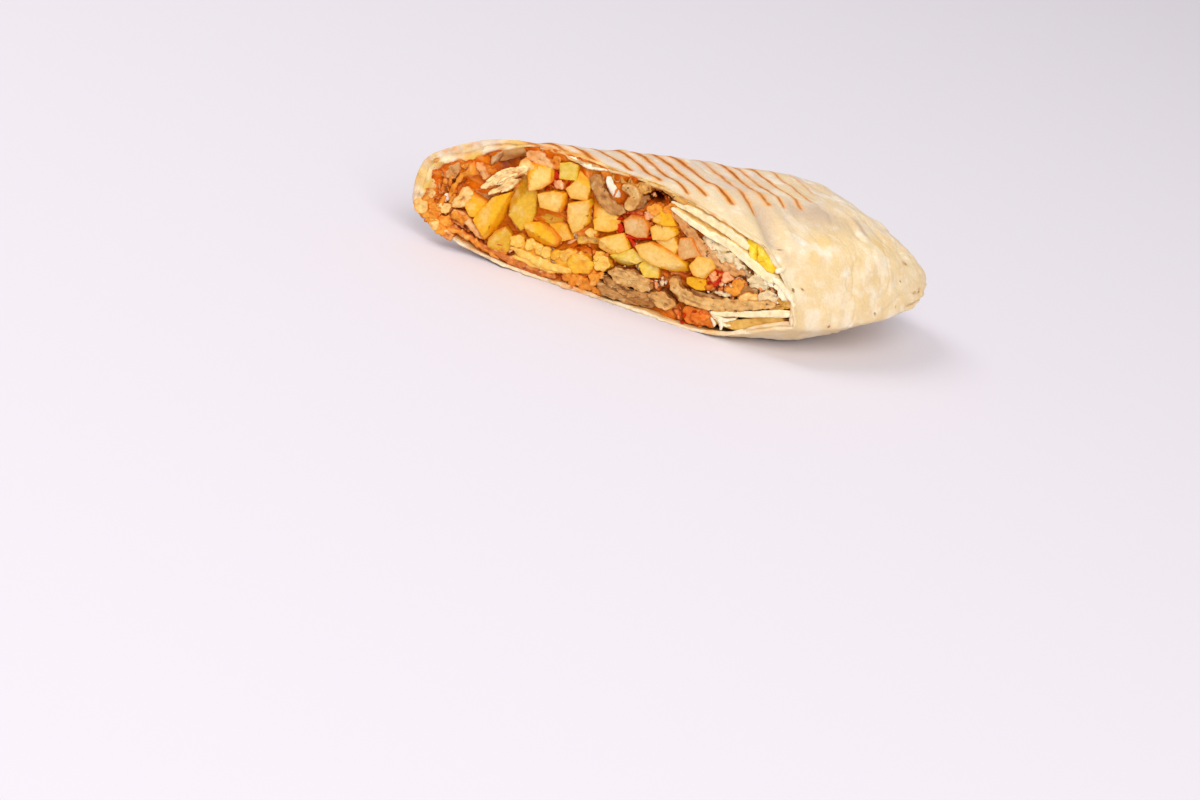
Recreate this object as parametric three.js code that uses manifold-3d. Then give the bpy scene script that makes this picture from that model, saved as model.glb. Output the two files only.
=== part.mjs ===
// One half of a grilled wrap of flat bread with meat and fries, cut on the slant, on its flat underside.
// Millimetres. +X runs along the wrap to its closed end, +Y to its thick back edge, +Z up.
import * as THREE from 'three';
import { mergeVertices } from 'three/addons/utils/BufferGeometryUtils.js';
import Module from 'manifold-3d';

const wasm = await Module();
wasm.setup();

// Driving dimensions
const CUT_ANGLE = THREE.MathUtils.degToRad(36);
const CUT_LENGTH = 147.5;
const THICKNESS = 50.4;
const SHOULDER_X = 3;
const END_X = 81;
const END_WALL = 8;
const SLIT_END_X = 26;
const FOLD_START_X = 68;
const FOLD_DEPTH = 5.2;
const FOLD_GAPE = 3;
const GAP = 0.35;
const CORE_SETBACK = 5;
const FRY_DEPTH = 15;
const FRY_YAW = THREE.MathUtils.degToRad(28);
const FRY_CORNERS = 12;

const SIN = Math.sin(CUT_ANGLE);
const COS = Math.cos(CUT_ANGLE);

// The closed end's stations: x, front edge, back edge, underside, top
const END_STATIONS = [
  [SHOULDER_X, 0, CUT_LENGTH * SIN, 0, THICKNESS],
  [16, 0.6, CUT_LENGTH * SIN, 1.4, 50.3],
  [31, 3, 85.3, 4.4, 48.8],
  [48, 8, 80, 8.8, 44.2],
  [62, 14.5, 72.4, 13, 38.4],
  [73, 23, 62.6, 17, 33.2],
  [78.5, 29.5, 55.5, 19.6, 29.6],
  [END_X, 36, 48.5, 22, 26.8],
];

// Outlines in the plane of the cut: distance from the front corner, height above the table
const OUTER = [
  [0, 13.5], [8.5, 9.6], [17, 5.2], [26, 1.6], [36, 0], [60, 0], [90, 0], [106, 0.3], [119, 1.8],
  [130, 4.2], [140, 8], [146, 12], [148, 20], [146.6, 30], [141, 35.8], [130, 42.8], [119, 47.2],
  [107, 50.2], [94, 50.4], [78, 49.8], [64, 49.8], [51, 47.4], [39, 44.6], [29, 42.2], [20.5, 39.6],
  [13, 33.6], [6, 25.6], [1.2, 18.5],
];
const INNER = [
  [4.4, 20.6], [13, 15.2], [23, 12], [29.4, 10], [28.8, 6.2], [33, 3.2], [42, 2.4], [60, 2.2],
  [90, 2.2], [106, 2.7], [119, 4.2], [130, 7.2], [138, 10.8], [143.6, 15.4], [145, 22.5], [143.2, 29],
  [137.5, 34.2], [128.5, 39.6], [116, 44.8], [100, 47.4], [84, 47.2], [66, 47.7], [57.5, 46.2],
  [54.6, 44.4], [54.6, 42.4], [48, 39.6], [40, 36.3], [32, 33.3], [22, 28.9], [12, 24.4],
];
const BACK_SLIT = [
  [54, 43.6], [46, 42.4], [38, 41], [30, 39.8], [22.5, 38.9], [17.5, 35], [13, 29.6], [18, 31],
  [25, 33.8], [32, 36.6], [40, 39.4], [48, 41.8],
];
const FRONT_SLIT = [
  [3.6, 15.3], [11, 11.4], [20, 7.2], [26, 4.8], [27, 6.4], [20, 9.2], [11, 13.4], [4.6, 16.9],
];

// Each filling: its outline where the cut shows it, how far it stands out of the cut, its colour and shine
const FILLINGS = [
  { name: 'doner_slice', proud: 0.6, color: '#c9a07a', roughness: 0.6,
    outline: [
      [49.4, 17.4], [46, 14.2], [39, 13.6], [29, 15.2], [20, 19.2], [11, 22.2], [5.6, 21.4],
      [13, 15.8], [23, 12.6], [31, 10.9], [41, 10.3], [46.5, 12.2], [49.8, 15],
    ] },
  { name: 'doner_side', proud: -0.4, color: '#a98468', roughness: 0.6,
    outline: [
      [55.6, 42], [52, 39.6], [45, 36.8], [41.5, 33], [38.5, 30], [31, 28.6], [24, 27.6], [19.6, 25],
      [22, 23], [29, 25.4], [35, 26.4], [39.5, 29], [43, 30.6], [46, 33.6], [52, 37],
    ] },
  { name: 'doner_curl', proud: 1.2, color: '#9b775c', roughness: 0.6,
    outline: [
      [87.6, 43], [86.4, 45.4], [82, 45], [80, 40.4], [76.8, 38.4], [74.6, 39.2], [75.6, 43],
      [73.6, 45], [69.8, 45], [68, 41], [70, 35.2], [74, 33], [80, 34], [84.6, 38],
    ] },
  { name: 'doner_top', proud: 0, color: '#a5805f', roughness: 0.6,
    outline: [
      [80, 46.7], [72, 47.3], [63, 47.3], [56.8, 45.6], [57.6, 43.6], [61.4, 44.8], [67, 45.4],
      [74, 45.7],
    ] },
  { name: 'doner_base', proud: 0.4, color: '#8f6f58', roughness: 0.65,
    outline: [
      [72.6, 3], [71.6, 7.6], [69.4, 12.4], [63, 14], [59, 12.3], [53, 12.6], [46.6, 11.7], [43, 9.5],
      [41, 7], [41, 3], [56, 2.6],
    ] },
  { name: 'doner_strip', proud: 0.2, color: '#a8684a', roughness: 0.6,
    outline: [
      [133, 9.4], [129, 9.8], [121.5, 8.2], [114, 6.3], [104, 5.4], [96, 5.2], [90.4, 5.5],
      [88.8, 3.8], [96, 2.6], [106, 3.1], [118, 4.7], [128, 7.2],
    ] },
  { name: 'chicken_strip', proud: 2, color: '#f0dcbc', roughness: 0.55,
    outline: [
      [126.2, 26.2], [122.8, 28.6], [120, 33.6], [116, 39], [112, 42.4], [110.4, 40.4], [111.6, 33],
      [115.6, 28.2], [120, 25.8], [123.2, 25.4],
    ] },
  { name: 'chicken_sliver', proud: 1, color: '#e9c493', roughness: 0.6,
    outline: [
      [128.8, 35.2], [125.6, 35.8], [121.6, 35.2], [120.4, 32.4], [122.4, 29.8], [124.6, 27.6],
      [126.6, 30],
    ] },
  { name: 'chicken_crumb', proud: 0, color: '#c77a3c', roughness: 0.7,
    outline: [
      [142, 22], [142.2, 26.6], [139.6, 29.6], [135.4, 33.2], [130, 35.4], [127.4, 30.4],
      [128.4, 27.6], [126.8, 24.9], [130, 24.4], [133, 20.6], [138, 20],
    ] },
  { name: 'chicken_rough', proud: 0.8, color: '#d08850', roughness: 0.65,
    outline: [
      [144, 16.6], [141, 19.2], [136.6, 19.4], [132, 19.4], [132.4, 15.6], [133, 10.6], [136.2, 11],
      [140.6, 13],
    ] },
  { name: 'chicken_low', proud: 0.6, color: '#dda184', roughness: 0.6,
    outline: [
      [132.6, 13.8], [131.6, 15], [126.6, 13.8], [121, 11], [117.2, 9.6], [118.6, 8.5], [122.4, 9],
      [129, 10.8],
    ] },
  { name: 'chicken_top', proud: 0.4, color: '#e3b496', roughness: 0.6,
    outline: [
      [112.6, 44], [109, 45.9], [104.6, 45.6], [101.4, 43.6], [104, 41.6], [108, 41], [111, 41.6],
    ] },
  { name: 'cheese_layer', proud: 0.6, color: '#eec562', roughness: 0.5,
    outline: [
      [107.4, 7.6], [107.2, 12.4], [104, 12.4], [100, 12], [96, 12.8], [91, 13.2], [87, 14.6],
      [83, 14.2], [78, 15.2], [73, 15.6], [70.4, 14], [71.6, 10.6], [75.6, 8.6], [80, 7.4], [86, 6.4],
      [92, 6.2], [99, 5.9], [104, 6],
    ] },
  { name: 'chicken_bits', proud: -0.2, color: '#d79a6a', roughness: 0.65,
    outline: [
      [88.2, 4.4], [86, 5.8], [81, 6.6], [76.6, 7.6], [73, 6.8], [73.4, 3.2], [80, 2.8], [86, 2.8],
    ] },
  { name: 'pepper_bits', proud: -0.6, color: '#d4552a', roughness: 0.5,
    outline: [
      [40.2, 3.4], [40, 7], [36.6, 9.2], [31, 9.6], [30, 6.6], [31.8, 4], [35.5, 3],
    ] },
  { name: 'chicken_lumps', proud: 0.6, color: '#dfa878', roughness: 0.65,
    outline: [
      [31, 20.4], [30.2, 23.6], [27, 24.4], [22.6, 22.6], [21.4, 20.4], [24, 18.4], [30.2, 17.4],
    ] },
  { name: 'curd_side', proud: 0, color: '#ece4d8', roughness: 0.6,
    outline: [
      [40.6, 32.8], [37.4, 34.4], [32, 32.4], [26, 29.8], [21, 27.4], [25, 28.4], [31, 29.4],
      [37.5, 30.6],
    ] },
  { name: 'curd_corner', proud: -0.4, color: '#d9d2ca', roughness: 0.6,
    outline: [
      [19.4, 26.6], [15.6, 25.4], [10, 23.4], [8, 22.6], [12, 22.6], [17, 20.8], [20, 21.4],
      [20.6, 24],
    ] },
];
const CHEESE_CORNER = [
  [26.8, 38.6], [23, 38.3], [19, 35.6], [15.6, 31.9], [19, 32], [23.4, 34], [27, 36],
];

// The middle of the filling, behind the fry ends that show
const CORE = [
  [132, 16], [130, 23.4], [121, 24.6], [112, 32], [110, 40.4], [101, 41], [99.4, 45.4], [89, 46.4],
  [80, 39], [79, 33.6], [69, 36], [62, 42], [55, 41], [45, 32], [38, 27.6], [31.4, 24], [31.4, 18],
  [48, 18.4], [59, 13.4], [70, 16.4], [84, 15.4], [108, 13.4], [109.4, 6], [115.6, 7.6], [122, 12],
];

// Each fry end: centre, length and height as it shows, turn in degrees, how far it stands out of the cut
const FRIES = [
  [126.4, 19.6, 8.6, 8.2, 20, 1], [117.4, 18, 19, 7.4, 101, 2.2], [111.6, 10.8, 11.6, 7.6, 100, 0.4],
  [108.2, 24.6, 16.6, 8.6, 88, 0.6], [105.8, 37, 9, 8, 10, 2.4], [98.8, 29.8, 10, 7.4, -8, 1.6],
  [96.6, 41.8, 7.4, 7.8, 5, 1], [90.8, 39.8, 13, 7, 95, 1.4], [97, 23.2, 9, 5.4, -10, -2.4],
  [98.8, 16.8, 15, 6.4, -5, 1.8], [91.6, 20.6, 8.4, 4.8, 36, 0.2], [88, 27, 12.4, 8, 95, 1.6],
  [81.4, 23, 4.6, 3.6, 0, 0], [78, 29.6, 10.8, 7.6, 8, 0.8], [73, 21.8, 10.4, 7, -8, 1.6],
  [65.6, 19, 10.8, 5.6, 15, 0.6], [66.4, 30.4, 9, 7.4, 5, 1.2], [58.8, 37.8, 9.6, 6.2, 35, 0.4],
  [56.4, 31.4, 9, 5.6, 10, 0.8], [53.4, 28, 7, 6.4, 20, 0.2], [46.4, 28.2, 8.4, 8.2, 10, 1],
  [54.4, 22, 20.4, 6.2, 13, 2], [57.2, 15.6, 5.6, 5.8, 10, 0], [38.8, 22.6, 8.4, 7, 5, 1.8],
  [40.2, 17.4, 8, 3, 3, 0],
];

// Shape helpers
function smooth(points, spacing) {
  const corners = points.map(([s, z]) => new THREE.Vector3(s, z, 0));
  const spline = new THREE.CatmullRomCurve3(corners, true, 'centripetal');
  const count = Math.max(10, Math.round(spline.getLength() / spacing));
  const outline = spline.getSpacedPoints(count).slice(0, count).map((p) => [p.x, Math.max(p.y, 0)]);
  const area = THREE.ShapeUtils.area(outline.map(([s, z]) => new THREE.Vector2(s, z)));
  return area < 0 ? outline.reverse() : outline;
}

// Moves every point of an outline outwards by `distance`
function grow(outline, distance) {
  const n = outline.length;
  return outline.map(([s, z], i) => {
    const [s0, z0] = outline[(i + n - 1) % n];
    const [s1, z1] = outline[(i + 1) % n];
    const length = Math.hypot(s1 - s0, z1 - z0);
    return [s + (distance * (z1 - z0)) / length, z - (distance * (s1 - s0)) / length];
  });
}

// A point of the cut's outline carried along the wrap to the station x
const profile = new THREE.CubicInterpolant(
  END_STATIONS.map((row) => row[0]),
  END_STATIONS.flatMap((row) => row.slice(1)),
  4,
);
function station([s, z], x) {
  const [front, back, bottom, top] = profile.evaluate(Math.max(x, SHOULDER_X));
  return [x, front + (s / CUT_LENGTH) * (back - front), bottom + (z / THICKNESS) * (top - bottom)];
}

function cutX(s) {
  return -s * COS;
}

function solidOf(positions, index) {
  const raw = new THREE.BufferGeometry();
  raw.setAttribute('position', new THREE.Float32BufferAttribute(positions, 3));
  raw.setIndex(index);
  const merged = mergeVertices(raw, 1e-3);
  return new wasm.Manifold(new wasm.Mesh({
    numProp: 3,
    vertProperties: new Float32Array(merged.attributes.position.array),
    triVerts: new Uint32Array(merged.index.array),
  }));
}

// Joins rings of one outline into a closed body
function skin(rings, outline) {
  const n = outline.length;
  const index = [];
  for (let k = 0; k + 1 < rings.length; k += 1) {
    for (let i = 0; i < n; i += 1) {
      const a = k * n + i;
      const b = k * n + ((i + 1) % n);
      index.push(a, b, b + n, a, b + n, a + n);
    }
  }
  const caps = THREE.ShapeUtils.triangulateShape(outline.map(([s, z]) => new THREE.Vector2(s, z)), []);
  const last = (rings.length - 1) * n;
  caps.forEach(([a, b, c]) => index.push(a, c, b, last + a, last + b, last + c));
  return solidOf(rings.flat(2), index);
}

// A body that fills an outline from `before` millimetres in front of the cut to the station `end`
function lengthwise(outline, before, end, straight, rounds) {
  const rings = [];
  for (let k = 0; k <= straight; k += 1) {
    const along = (s) => THREE.MathUtils.lerp(cutX(s) - before, SHOULDER_X, k / straight);
    rings.push(outline.map(([s, z]) => station([s, z], along(s))));
  }
  for (let k = 1; k <= rounds; k += 1) {
    const x = THREE.MathUtils.lerp(SHOULDER_X, end, Math.sin((k / rounds) * (Math.PI / 2)));
    rings.push(outline.map((point) => station(point, x)));
  }
  return skin(rings, outline);
}

// A straight body from a face that stands `proud` of the cut, along the wrap to its closed end
function filling(outline, proud) {
  return skin([
    outline.map(([s, z]) => [cutX(s) - proud / SIN, s * SIN, z]),
    outline.map(([s, z]) => [END_X, s * SIN, z]),
  ], outline);
}

// The open edge of the tucked fold: a wedge that deepens along the front corner to the closed end
function foldGroove(steps) {
  const rings = [];
  for (let k = 0; k <= steps; k += 1) {
    const [x, y, z] = station(OUTER[0], THREE.MathUtils.lerp(FOLD_START_X, END_X, k / steps));
    const depth = FOLD_DEPTH * (k / steps);
    const mouth = [x + depth * SIN, y - depth * COS - 1];
    const bottom = [x - depth * SIN, y + depth * COS, z];
    rings.push([[...mouth, z - FOLD_GAPE / 2], bottom, [...mouth, z + FOLD_GAPE / 2]]);
  }
  return skin(rings, [[0, 0], [1, 0.5], [0, 1]]);
}

function largest(solid) {
  return solid.decompose().reduce((best, piece) => (piece.volume() > best.volume() ? piece : best));
}

// The end of a fry: an uneven block with rounded corners that runs back into the filling
function fry([s, z, length, height, turn, proud], k) {
  const a = THREE.MathUtils.degToRad(turn);
  const outline = Array.from({ length: FRY_CORNERS }, (_, i) => {
    const t = ((i + 0.5) / FRY_CORNERS) * 2 * Math.PI;
    const square = (Math.abs(Math.cos(t)) ** 4 + Math.abs(Math.sin(t)) ** 4) ** -0.25;
    const uneven = 1 + 0.07 * Math.sin(3 * t + 1.7 * k);
    const u = (length / 2) * square * uneven * Math.cos(t);
    const v = (height / 2) * square * uneven * Math.sin(t);
    return [s + u * Math.cos(a) - v * Math.sin(a), z + u * Math.sin(a) + v * Math.cos(a)];
  });
  const yaw = FRY_YAW + 0.16 * Math.sin(2.1 * k);
  const rise = 0.12 * Math.sin(3.7 * k);
  const front = outline.map(([u, v]) => [cutX(u) - proud * SIN, u * SIN - proud * COS, v]);
  const depth = FRY_DEPTH + proud;
  const run = [depth * Math.cos(yaw), depth * Math.sin(yaw), depth * rise];
  const back = front.map((point) => point.map((value, i) => value + run[i]));
  return skin([front, back], outline);
}

function meshOf(name, body, color, roughness) {
  const { vertProperties, triVerts } = body.getMesh();
  const geometry = new THREE.BufferGeometry();
  geometry.setAttribute('position', new THREE.BufferAttribute(new Float32Array(vertProperties), 3));
  geometry.setIndex(new THREE.BufferAttribute(new Uint32Array(triVerts), 1));
  const mesh = new THREE.Mesh(geometry, new THREE.MeshStandardMaterial({ color, roughness, metalness: 0 }));
  mesh.name = name;
  return mesh;
}

const wrap = new THREE.Group();

// Bread: one skin with two slits where its layers part
const outerOutline = smooth(OUTER, 5.5);
const innerOutline = smooth(INNER, 5.5);
const slit = (points) => lengthwise(smooth(points, 5), 2, SLIT_END_X, 2, 2);
const bread = lengthwise(outerOutline, 0, END_X, 3, 8)
  .subtract(lengthwise(innerOutline, 2, END_X - END_WALL, 3, 6))
  .subtract(slit(BACK_SLIT))
  .subtract(slit(FRONT_SLIT))
  .subtract(foldGroove(5));
wrap.add(meshOf('bread', largest(bread), '#eedcbc', 0.75));

// Fillings: earlier ones keep their outline and later ones give way to them
const room = lengthwise(grow(innerOutline, -GAP), 12, END_X - END_WALL - GAP, 3, 6);
let taken = [];
FILLINGS.forEach(({ name, outline, proud, color, roughness }) => {
  const edge = smooth(outline, 3.2);
  const body = taken.reduce((left, other) => left.subtract(other), filling(edge, proud).intersect(room));
  taken.push(filling(grow(edge, GAP), 12));
  wrap.add(meshOf(name, largest(body), color, roughness));
});
const slitRoom = lengthwise(grow(smooth(BACK_SLIT, 5), -GAP), 6, SLIT_END_X - GAP, 2, 2);
const cheeseCorner = filling(smooth(CHEESE_CORNER, 3), 0.4).intersect(slitRoom);
wrap.add(meshOf('cheese_corner', largest(cheeseCorner), '#f4d51b', 0.35));

// Fries: a core with the ends that show fused on
const core = filling(smooth(CORE, 5), -CORE_SETBACK);
const heap = FRIES.reduce((left, row, k) => left.add(fry(row, k)), core);
const fries = taken.reduce((left, other) => left.subtract(other), heap.intersect(room));
wrap.add(meshOf('fries', largest(fries), '#eac568', 0.6));

// The origin stands at the middle of the underside
const box = new THREE.Box3().setFromObject(wrap);
const middle = box.getCenter(new THREE.Vector3());
wrap.position.set(-middle.x, -middle.y, -box.min.z);

export default wrap;
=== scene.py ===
import math

import bpy
import numpy as np
from mathutils import Matrix, Vector


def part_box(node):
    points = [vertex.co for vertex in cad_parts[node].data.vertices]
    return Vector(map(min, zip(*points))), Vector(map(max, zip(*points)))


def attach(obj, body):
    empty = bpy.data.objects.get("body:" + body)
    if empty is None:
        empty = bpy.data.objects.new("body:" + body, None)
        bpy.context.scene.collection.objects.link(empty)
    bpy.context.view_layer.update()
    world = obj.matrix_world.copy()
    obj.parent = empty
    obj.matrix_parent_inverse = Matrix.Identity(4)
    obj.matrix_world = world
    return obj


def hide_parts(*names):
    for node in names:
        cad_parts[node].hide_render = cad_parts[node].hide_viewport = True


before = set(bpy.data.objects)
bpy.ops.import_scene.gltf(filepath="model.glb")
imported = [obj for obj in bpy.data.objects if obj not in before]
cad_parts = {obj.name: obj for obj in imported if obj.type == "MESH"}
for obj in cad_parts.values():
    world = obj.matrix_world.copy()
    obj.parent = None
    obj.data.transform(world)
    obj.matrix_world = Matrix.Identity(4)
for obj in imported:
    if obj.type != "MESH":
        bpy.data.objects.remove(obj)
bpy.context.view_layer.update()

# One half of a grilled wrap, cut on the slant. Sizes in millimetres unless a name says otherwise.
# The cut's own measures: s runs along the cut from its front corner, z up, depth behind the cut.
MM = 0.001
CUT_ANGLE = math.radians(36)
SIN = math.sin(CUT_ANGLE)
COS = math.cos(CUT_ANGLE)
CUT_LENGTH = 147.5
THICKNESS = 50.4
SHOULDER_X = 3.0
END_X = 81.0
ALONG = np.array([-COS, SIN, 0.0])
UP = np.array([0.0, 0.0, 1.0])
INWARD = np.array([SIN, COS, 0.0])

# The closed end's stations: x, front edge, back edge, underside, top
END_STATIONS = np.array([
    (SHOULDER_X, 0, CUT_LENGTH * SIN, 0, THICKNESS),
    (16, 0.6, CUT_LENGTH * SIN, 1.4, 50.3),
    (31, 3, 85.3, 4.4, 48.8),
    (48, 8, 80, 8.8, 44.2),
    (62, 14.5, 72.4, 13, 38.4),
    (73, 23, 62.6, 17, 33.2),
    (78.5, 29.5, 55.5, 19.6, 29.6),
    (END_X, 36, 48.5, 22, 26.8),
])
OUTER = [
    (0, 13.5), (8.5, 9.6), (17, 5.2), (26, 1.6), (36, 0), (60, 0), (90, 0), (106, 0.3), (119, 1.8),
    (130, 4.2), (140, 8), (146, 12), (148, 20), (146.6, 30), (141, 35.8), (130, 42.8), (119, 47.2),
    (107, 50.2), (94, 50.4), (78, 49.8), (64, 49.8), (51, 47.4), (39, 44.6), (29, 42.2), (20.5, 39.6),
    (13, 33.6), (6, 25.6), (1.2, 18.5),
]

# Where the cut frame's origin stands in the part
low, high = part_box("bread")
SHIFT = np.array([high.x / MM - END_X, low.y / MM, 0.0])

# Bread
BREAD_STEP = 0.85
BREAD_ROWS = 200
RIM_ROWS = 14
LINING_DEPTH = 24.0
LINING_ROWS = 14
RIM_SHARES = np.arange(RIM_ROWS + 1) / RIM_ROWS
# Middle of the cut's outline, and how far out the rings of the lining's closing wall stand
MIDDLE = np.array([70.0, 25.0])
WALL_SHARES = (0.02, 0.5, 0.8)
# Cap of the closed end: how far before END_X it starts, its reach, and how far out its rings stand
CAP_START = 1.2
CAP_REACH = 1.6
CAP_SHARES = (0.75, 0.4, 0.02)
# Row of the skin that shows which way is outward
SAMPLE_ROW = 40
# Middle of a section straight across the wrap, and how much deeper food stays under the fold and the top
HEART = np.array([42.0, 25.0])
FOLD_MARGIN = 3.2
HANGING_MARGIN = 0.8
# Offset, in a grill mark's own widths, where there is none
FAR_OFF = 9.0
# Noise on the skin as height, size, octaves and seed, and creases as depth and seed
SKIN_WAVES = [(0.55, 22, 2, 3), (0.36, 8, 2, 5), (0.13, 2.4, 3, 7)]
CREASES = [(0.5, 81), (0.35, 87)]
# Arc from the front corner over the top, and the bread's thickness there
RIM_THICKNESS = [
    (0, 4.2), (5, 3), (11, 1.4), (20, 1), (60, 0.8), (108, 0.8), (122, 1.4), (134, 3.2), (141, 4.8),
    (150, 5.8), (162, 5.8), (172, 5.2), (180, 4), (187, 2.2), (193, 1.1), (214, 1.2), (250, 1.5), (312, 1.4),
    (324, 2.6), (332, 3.6), (339, 4.2),
]
# Arc, and how far the bread's cut edge hangs over the fillings there
DROOP = [(0, 0), (56, 0.2), (76, 0.9), (96, 1.7), (112, 2.0), (126, 0.9), (136, 0), (339, 0)]
# Grill marks: two ends as (x, arc), then strength and width
MARKS = [
    ((-94, 133), (-86, 119), 0.5, 0.9),
    ((-86, 128), (-77.3, 110.5), 0.8, 1.0),
    ((-78.5, 128), (-69.6, 101), 0.8, 1.1),
    ((-68.6, 130), (-58.1, 94), 1.0, 1.2),
    ((-56, 132), (-50, 81.5), 0.95, 1.2),
    ((-48.2, 129), (-40.9, 71), 0.95, 1.2),
    ((-39.5, 131), (-33.6, 70), 0.9, 1.2),
    ((-33.5, 130), (-22.2, 66), 1.0, 1.4),
    ((-19.5, 134), (-13.2, 61), 0.6, 1.1),
    ((-11, 130), (-6.1, 67), 0.8, 1.15),
    ((-3.8, 120), (1.7, 68.5), 0.65, 0.95),
    ((4.8, 126), (9.7, 68.5), 0.65, 0.95),
    ((14.6, 124), (16.3, 75), 0.5, 0.8),
    ((22.5, 120), (25.7, 88.5), 0.32, 0.7),
]
# Relief on the skin: path as (x, arc), height, width
RELIEF = [
    ([(-12.5, 74), (-11, 61), (-11.1, 47), (-11.3, 32.5), (-7.9, 23), (-3.5, 11.5)], -2.2, 3.4),
    ([(-5, 74), (-3.5, 60), (-3.5, 47), (-3, 34)], 0.8, 3.0),
    ([(22.4, 74.5), (26.4, 73.5), (31, 71.5), (33.3, 67), (34.8, 63)], 0.8, 1.4),
    ([(20.4, 70.5), (25, 69.5), (29, 67)], -0.6, 1.2),
    ([(31.8, 62.5), (32.2, 57), (32.7, 48.5), (34.4, 43)], -0.7, 1.3),
    ([(35.5, 62), (36, 55), (36.6, 48)], 0.5, 1.6),
    ([(60, 100), (56.6, 86), (56.2, 70), (58.4, 53.5)], 0.9, 2.4),
    ([(62, 98), (61, 84), (61.5, 66)], -0.8, 2.0),
    ([(-10, 80), (2, 77), (13.5, 75), (20.3, 73.5)], 0.5, 2.6),
    ([(44, 70), (50, 60), (53, 48), (52, 36)], -0.5, 2.2),
    ([(30, 112), (36, 100), (38, 88)], -0.6, 2.6),
    ([(66, 40), (72, 28), (78, 14)], -0.7, 1.8),
    ([(58, 3), (68, 2), (76, 1), (82, 0)], -3.0, 1.3),
    ([(70, 2), (77, 1), (84, 0), (92, 0)], -2.4, 6.0),
    ([(70, -16), (77, -15), (84, -14), (92, -14)], 1.6, 8.0),
    ([(62, 7), (70, 6), (80, 5)], 0.7, 1.6),
    ([(58, 100), (66, 84), (72, 70), (75, 58)], -2.2, 3.4),
    ([(67, 92), (64, 74), (62, 57), (59, 42)], -1.3, 3.0),
    ([(54, 98), (59, 84), (62, 72)], 0.8, 2.4),
    ([(40, 30), (46, 20), (50, 8)], 0.4, 2.0),
    ([(-30, 262), (-10, 268), (20, 262), (50, 258)], -0.9, 1.6),
    ([(-30, 258), (-10, 264), (20, 258), (50, 254)], 0.7, 1.6),
    ([(20, 190), (34, 178), (48, 182), (60, 174)], 0.8, 1.8),
    ([(10, 150), (30, 152), (52, 148)], -0.7, 2.2),
]
# Patches as (x, arc, radius, strength)
OILY = [
    (13.7, 41.5, 8, 0.9), (28.7, 32, 7, 0.8), (2, 50.5, 6, 0.6), (42.9, 45.5, 8, 0.8), (16.8, 31, 6, 0.6),
    (3.6, 30.5, 7, 0.6), (12.2, 18, 6, 0.7), (-4.3, 13.5, 5, 0.5), (56, 30, 7, 0.6), (20, 56, 6, 0.5),
    (40, 20, 7, 0.5), (-30, 90, 7, 0.3), (60, 110, 9, 0.5), (35, 140, 10, 0.5), (-20, 170, 12, 0.5),
    (10, 200, 12, 0.6), (-60, 165, 12, 0.5), (40, 230, 12, 0.5), (-10, 300, 14, 0.6), (30, 310, 12, 0.5),
]
FLOURY = [
    (21.4, 24, 3.4, 0.9), (8.6, 19, 3, 0.8), (12.2, 33, 2.6, 0.8), (1.2, 39.5, 3.2, 0.8), (34, 52.5, 3, 0.8),
    (14.6, 15.5, 2.4, 0.6), (23.1, 55, 3, 0.7), (-9.7, 28.5, 2.6, 0.6), (14.1, 57.5, 2.6, 0.7),
    (44.8, 34.5, 3, 0.7), (12.8, 73, 2.2, 0.9), (50, 70, 4, 0.5), (66, 60, 4, 0.5), (-40, 60, 4, 0.4),
    (0, 160, 5, 0.6), (40, 200, 6, 0.6), (-40, 190, 6, 0.5),
]
# Painted shade as browner patches in the closed end's notch and along its lower lip: (x, arc, radius,
# strength)
NOTCH_SHADE_PATCHES = [
    (57, 36, 3.4, 0.8), (58, 42, 2.4, 0.6), (62.3, 12.5, 2, 0.9), (65.8, 14.5, 2, 0.9), (70, 10, 2.4, 0.6),
]
# Painted shade, greyish, along folds: path as (x, arc), width, strength
FOLD_SHADE_PATHS = [
    ([(-11.6, 72), (-11.4, 66), (-10.7, 57), (-11.1, 47), (-12.2, 38), (-10, 30)], 3.0, 0.75),
    ([(36.2, 70), (36.6, 66), (37.2, 58), (37.7, 48)], 1.6, 0.7),
    ([(13, 76), (16.5, 68), (22, 63)], 2.6, 0.4),
    ([(51, 69), (56, 74), (62, 77)], 2.4, 0.5),
    ([(-4, 24), (-8, 33), (-13, 42)], 1.2, 0.4),
]
# Brown specks as (x, arc, radius)
SPECKS = [
    (52.5, 21.5, 0.7), (57.6, 36, 0.8), (37.4, 4, 0.8), (0.7, 16, 0.7), (-8.8, 34, 0.7), (65.8, 12, 1.1),
    (49.9, 5.5, 0.6), (15, 1, 0.8), (-60, 140, 0.9), (20, 170, 1.0), (50, 150, 0.8), (-20, 210, 1.1),
]

# Colours as they look in the photograph
CREAM = "#F3DCB1"
SHADED = "#E9CD9C"
OILED = "#EECB84"
FLOUR = "#FCF3E0"
# Painted shade, lilac grey, laid over the top and far side of the skin
TOP_SHADE = "#DBC8B6"
# Painted shade along folds
FOLD_SHADE = "#C9B49E"
# Painted shade, browner, for the closed end's notch and lip
NOTCH_SHADE = "#CF9450"
# Painted shade, greyer, for the skin's shoulder just behind the cut
SHOULDER_SHADE = "#CDB59C"
CHAR = "#AA5400"
TOAST = "#F09A10"
CRUMB = "#F6E6C4"
STAIN = "#E89A3C"
TANNED = "#ECCE94"
SPECK = "#8E4C1A"
LINING = "#F3D08C"
STAINED_LINING = "#E09A3C"
SHADED_CRUMB = "#E9C88E"
GOLDEN_RIM = "#ECC45A"
UPPER_RIM = "#DDAE66"
GRAIN = "#D9B98C"
SMEAR = "#E4761A"
# Painted shade, near black, deep in the filling core's hollows
HOLLOW_SHADE = "#4E0E00"
# Pale cream: a real pale tone in fry faces, and a painted highlight on high spots of the other food
HIGHLIGHT = "#FFF3D6"
FLOOR = "#E4DFE7"

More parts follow.
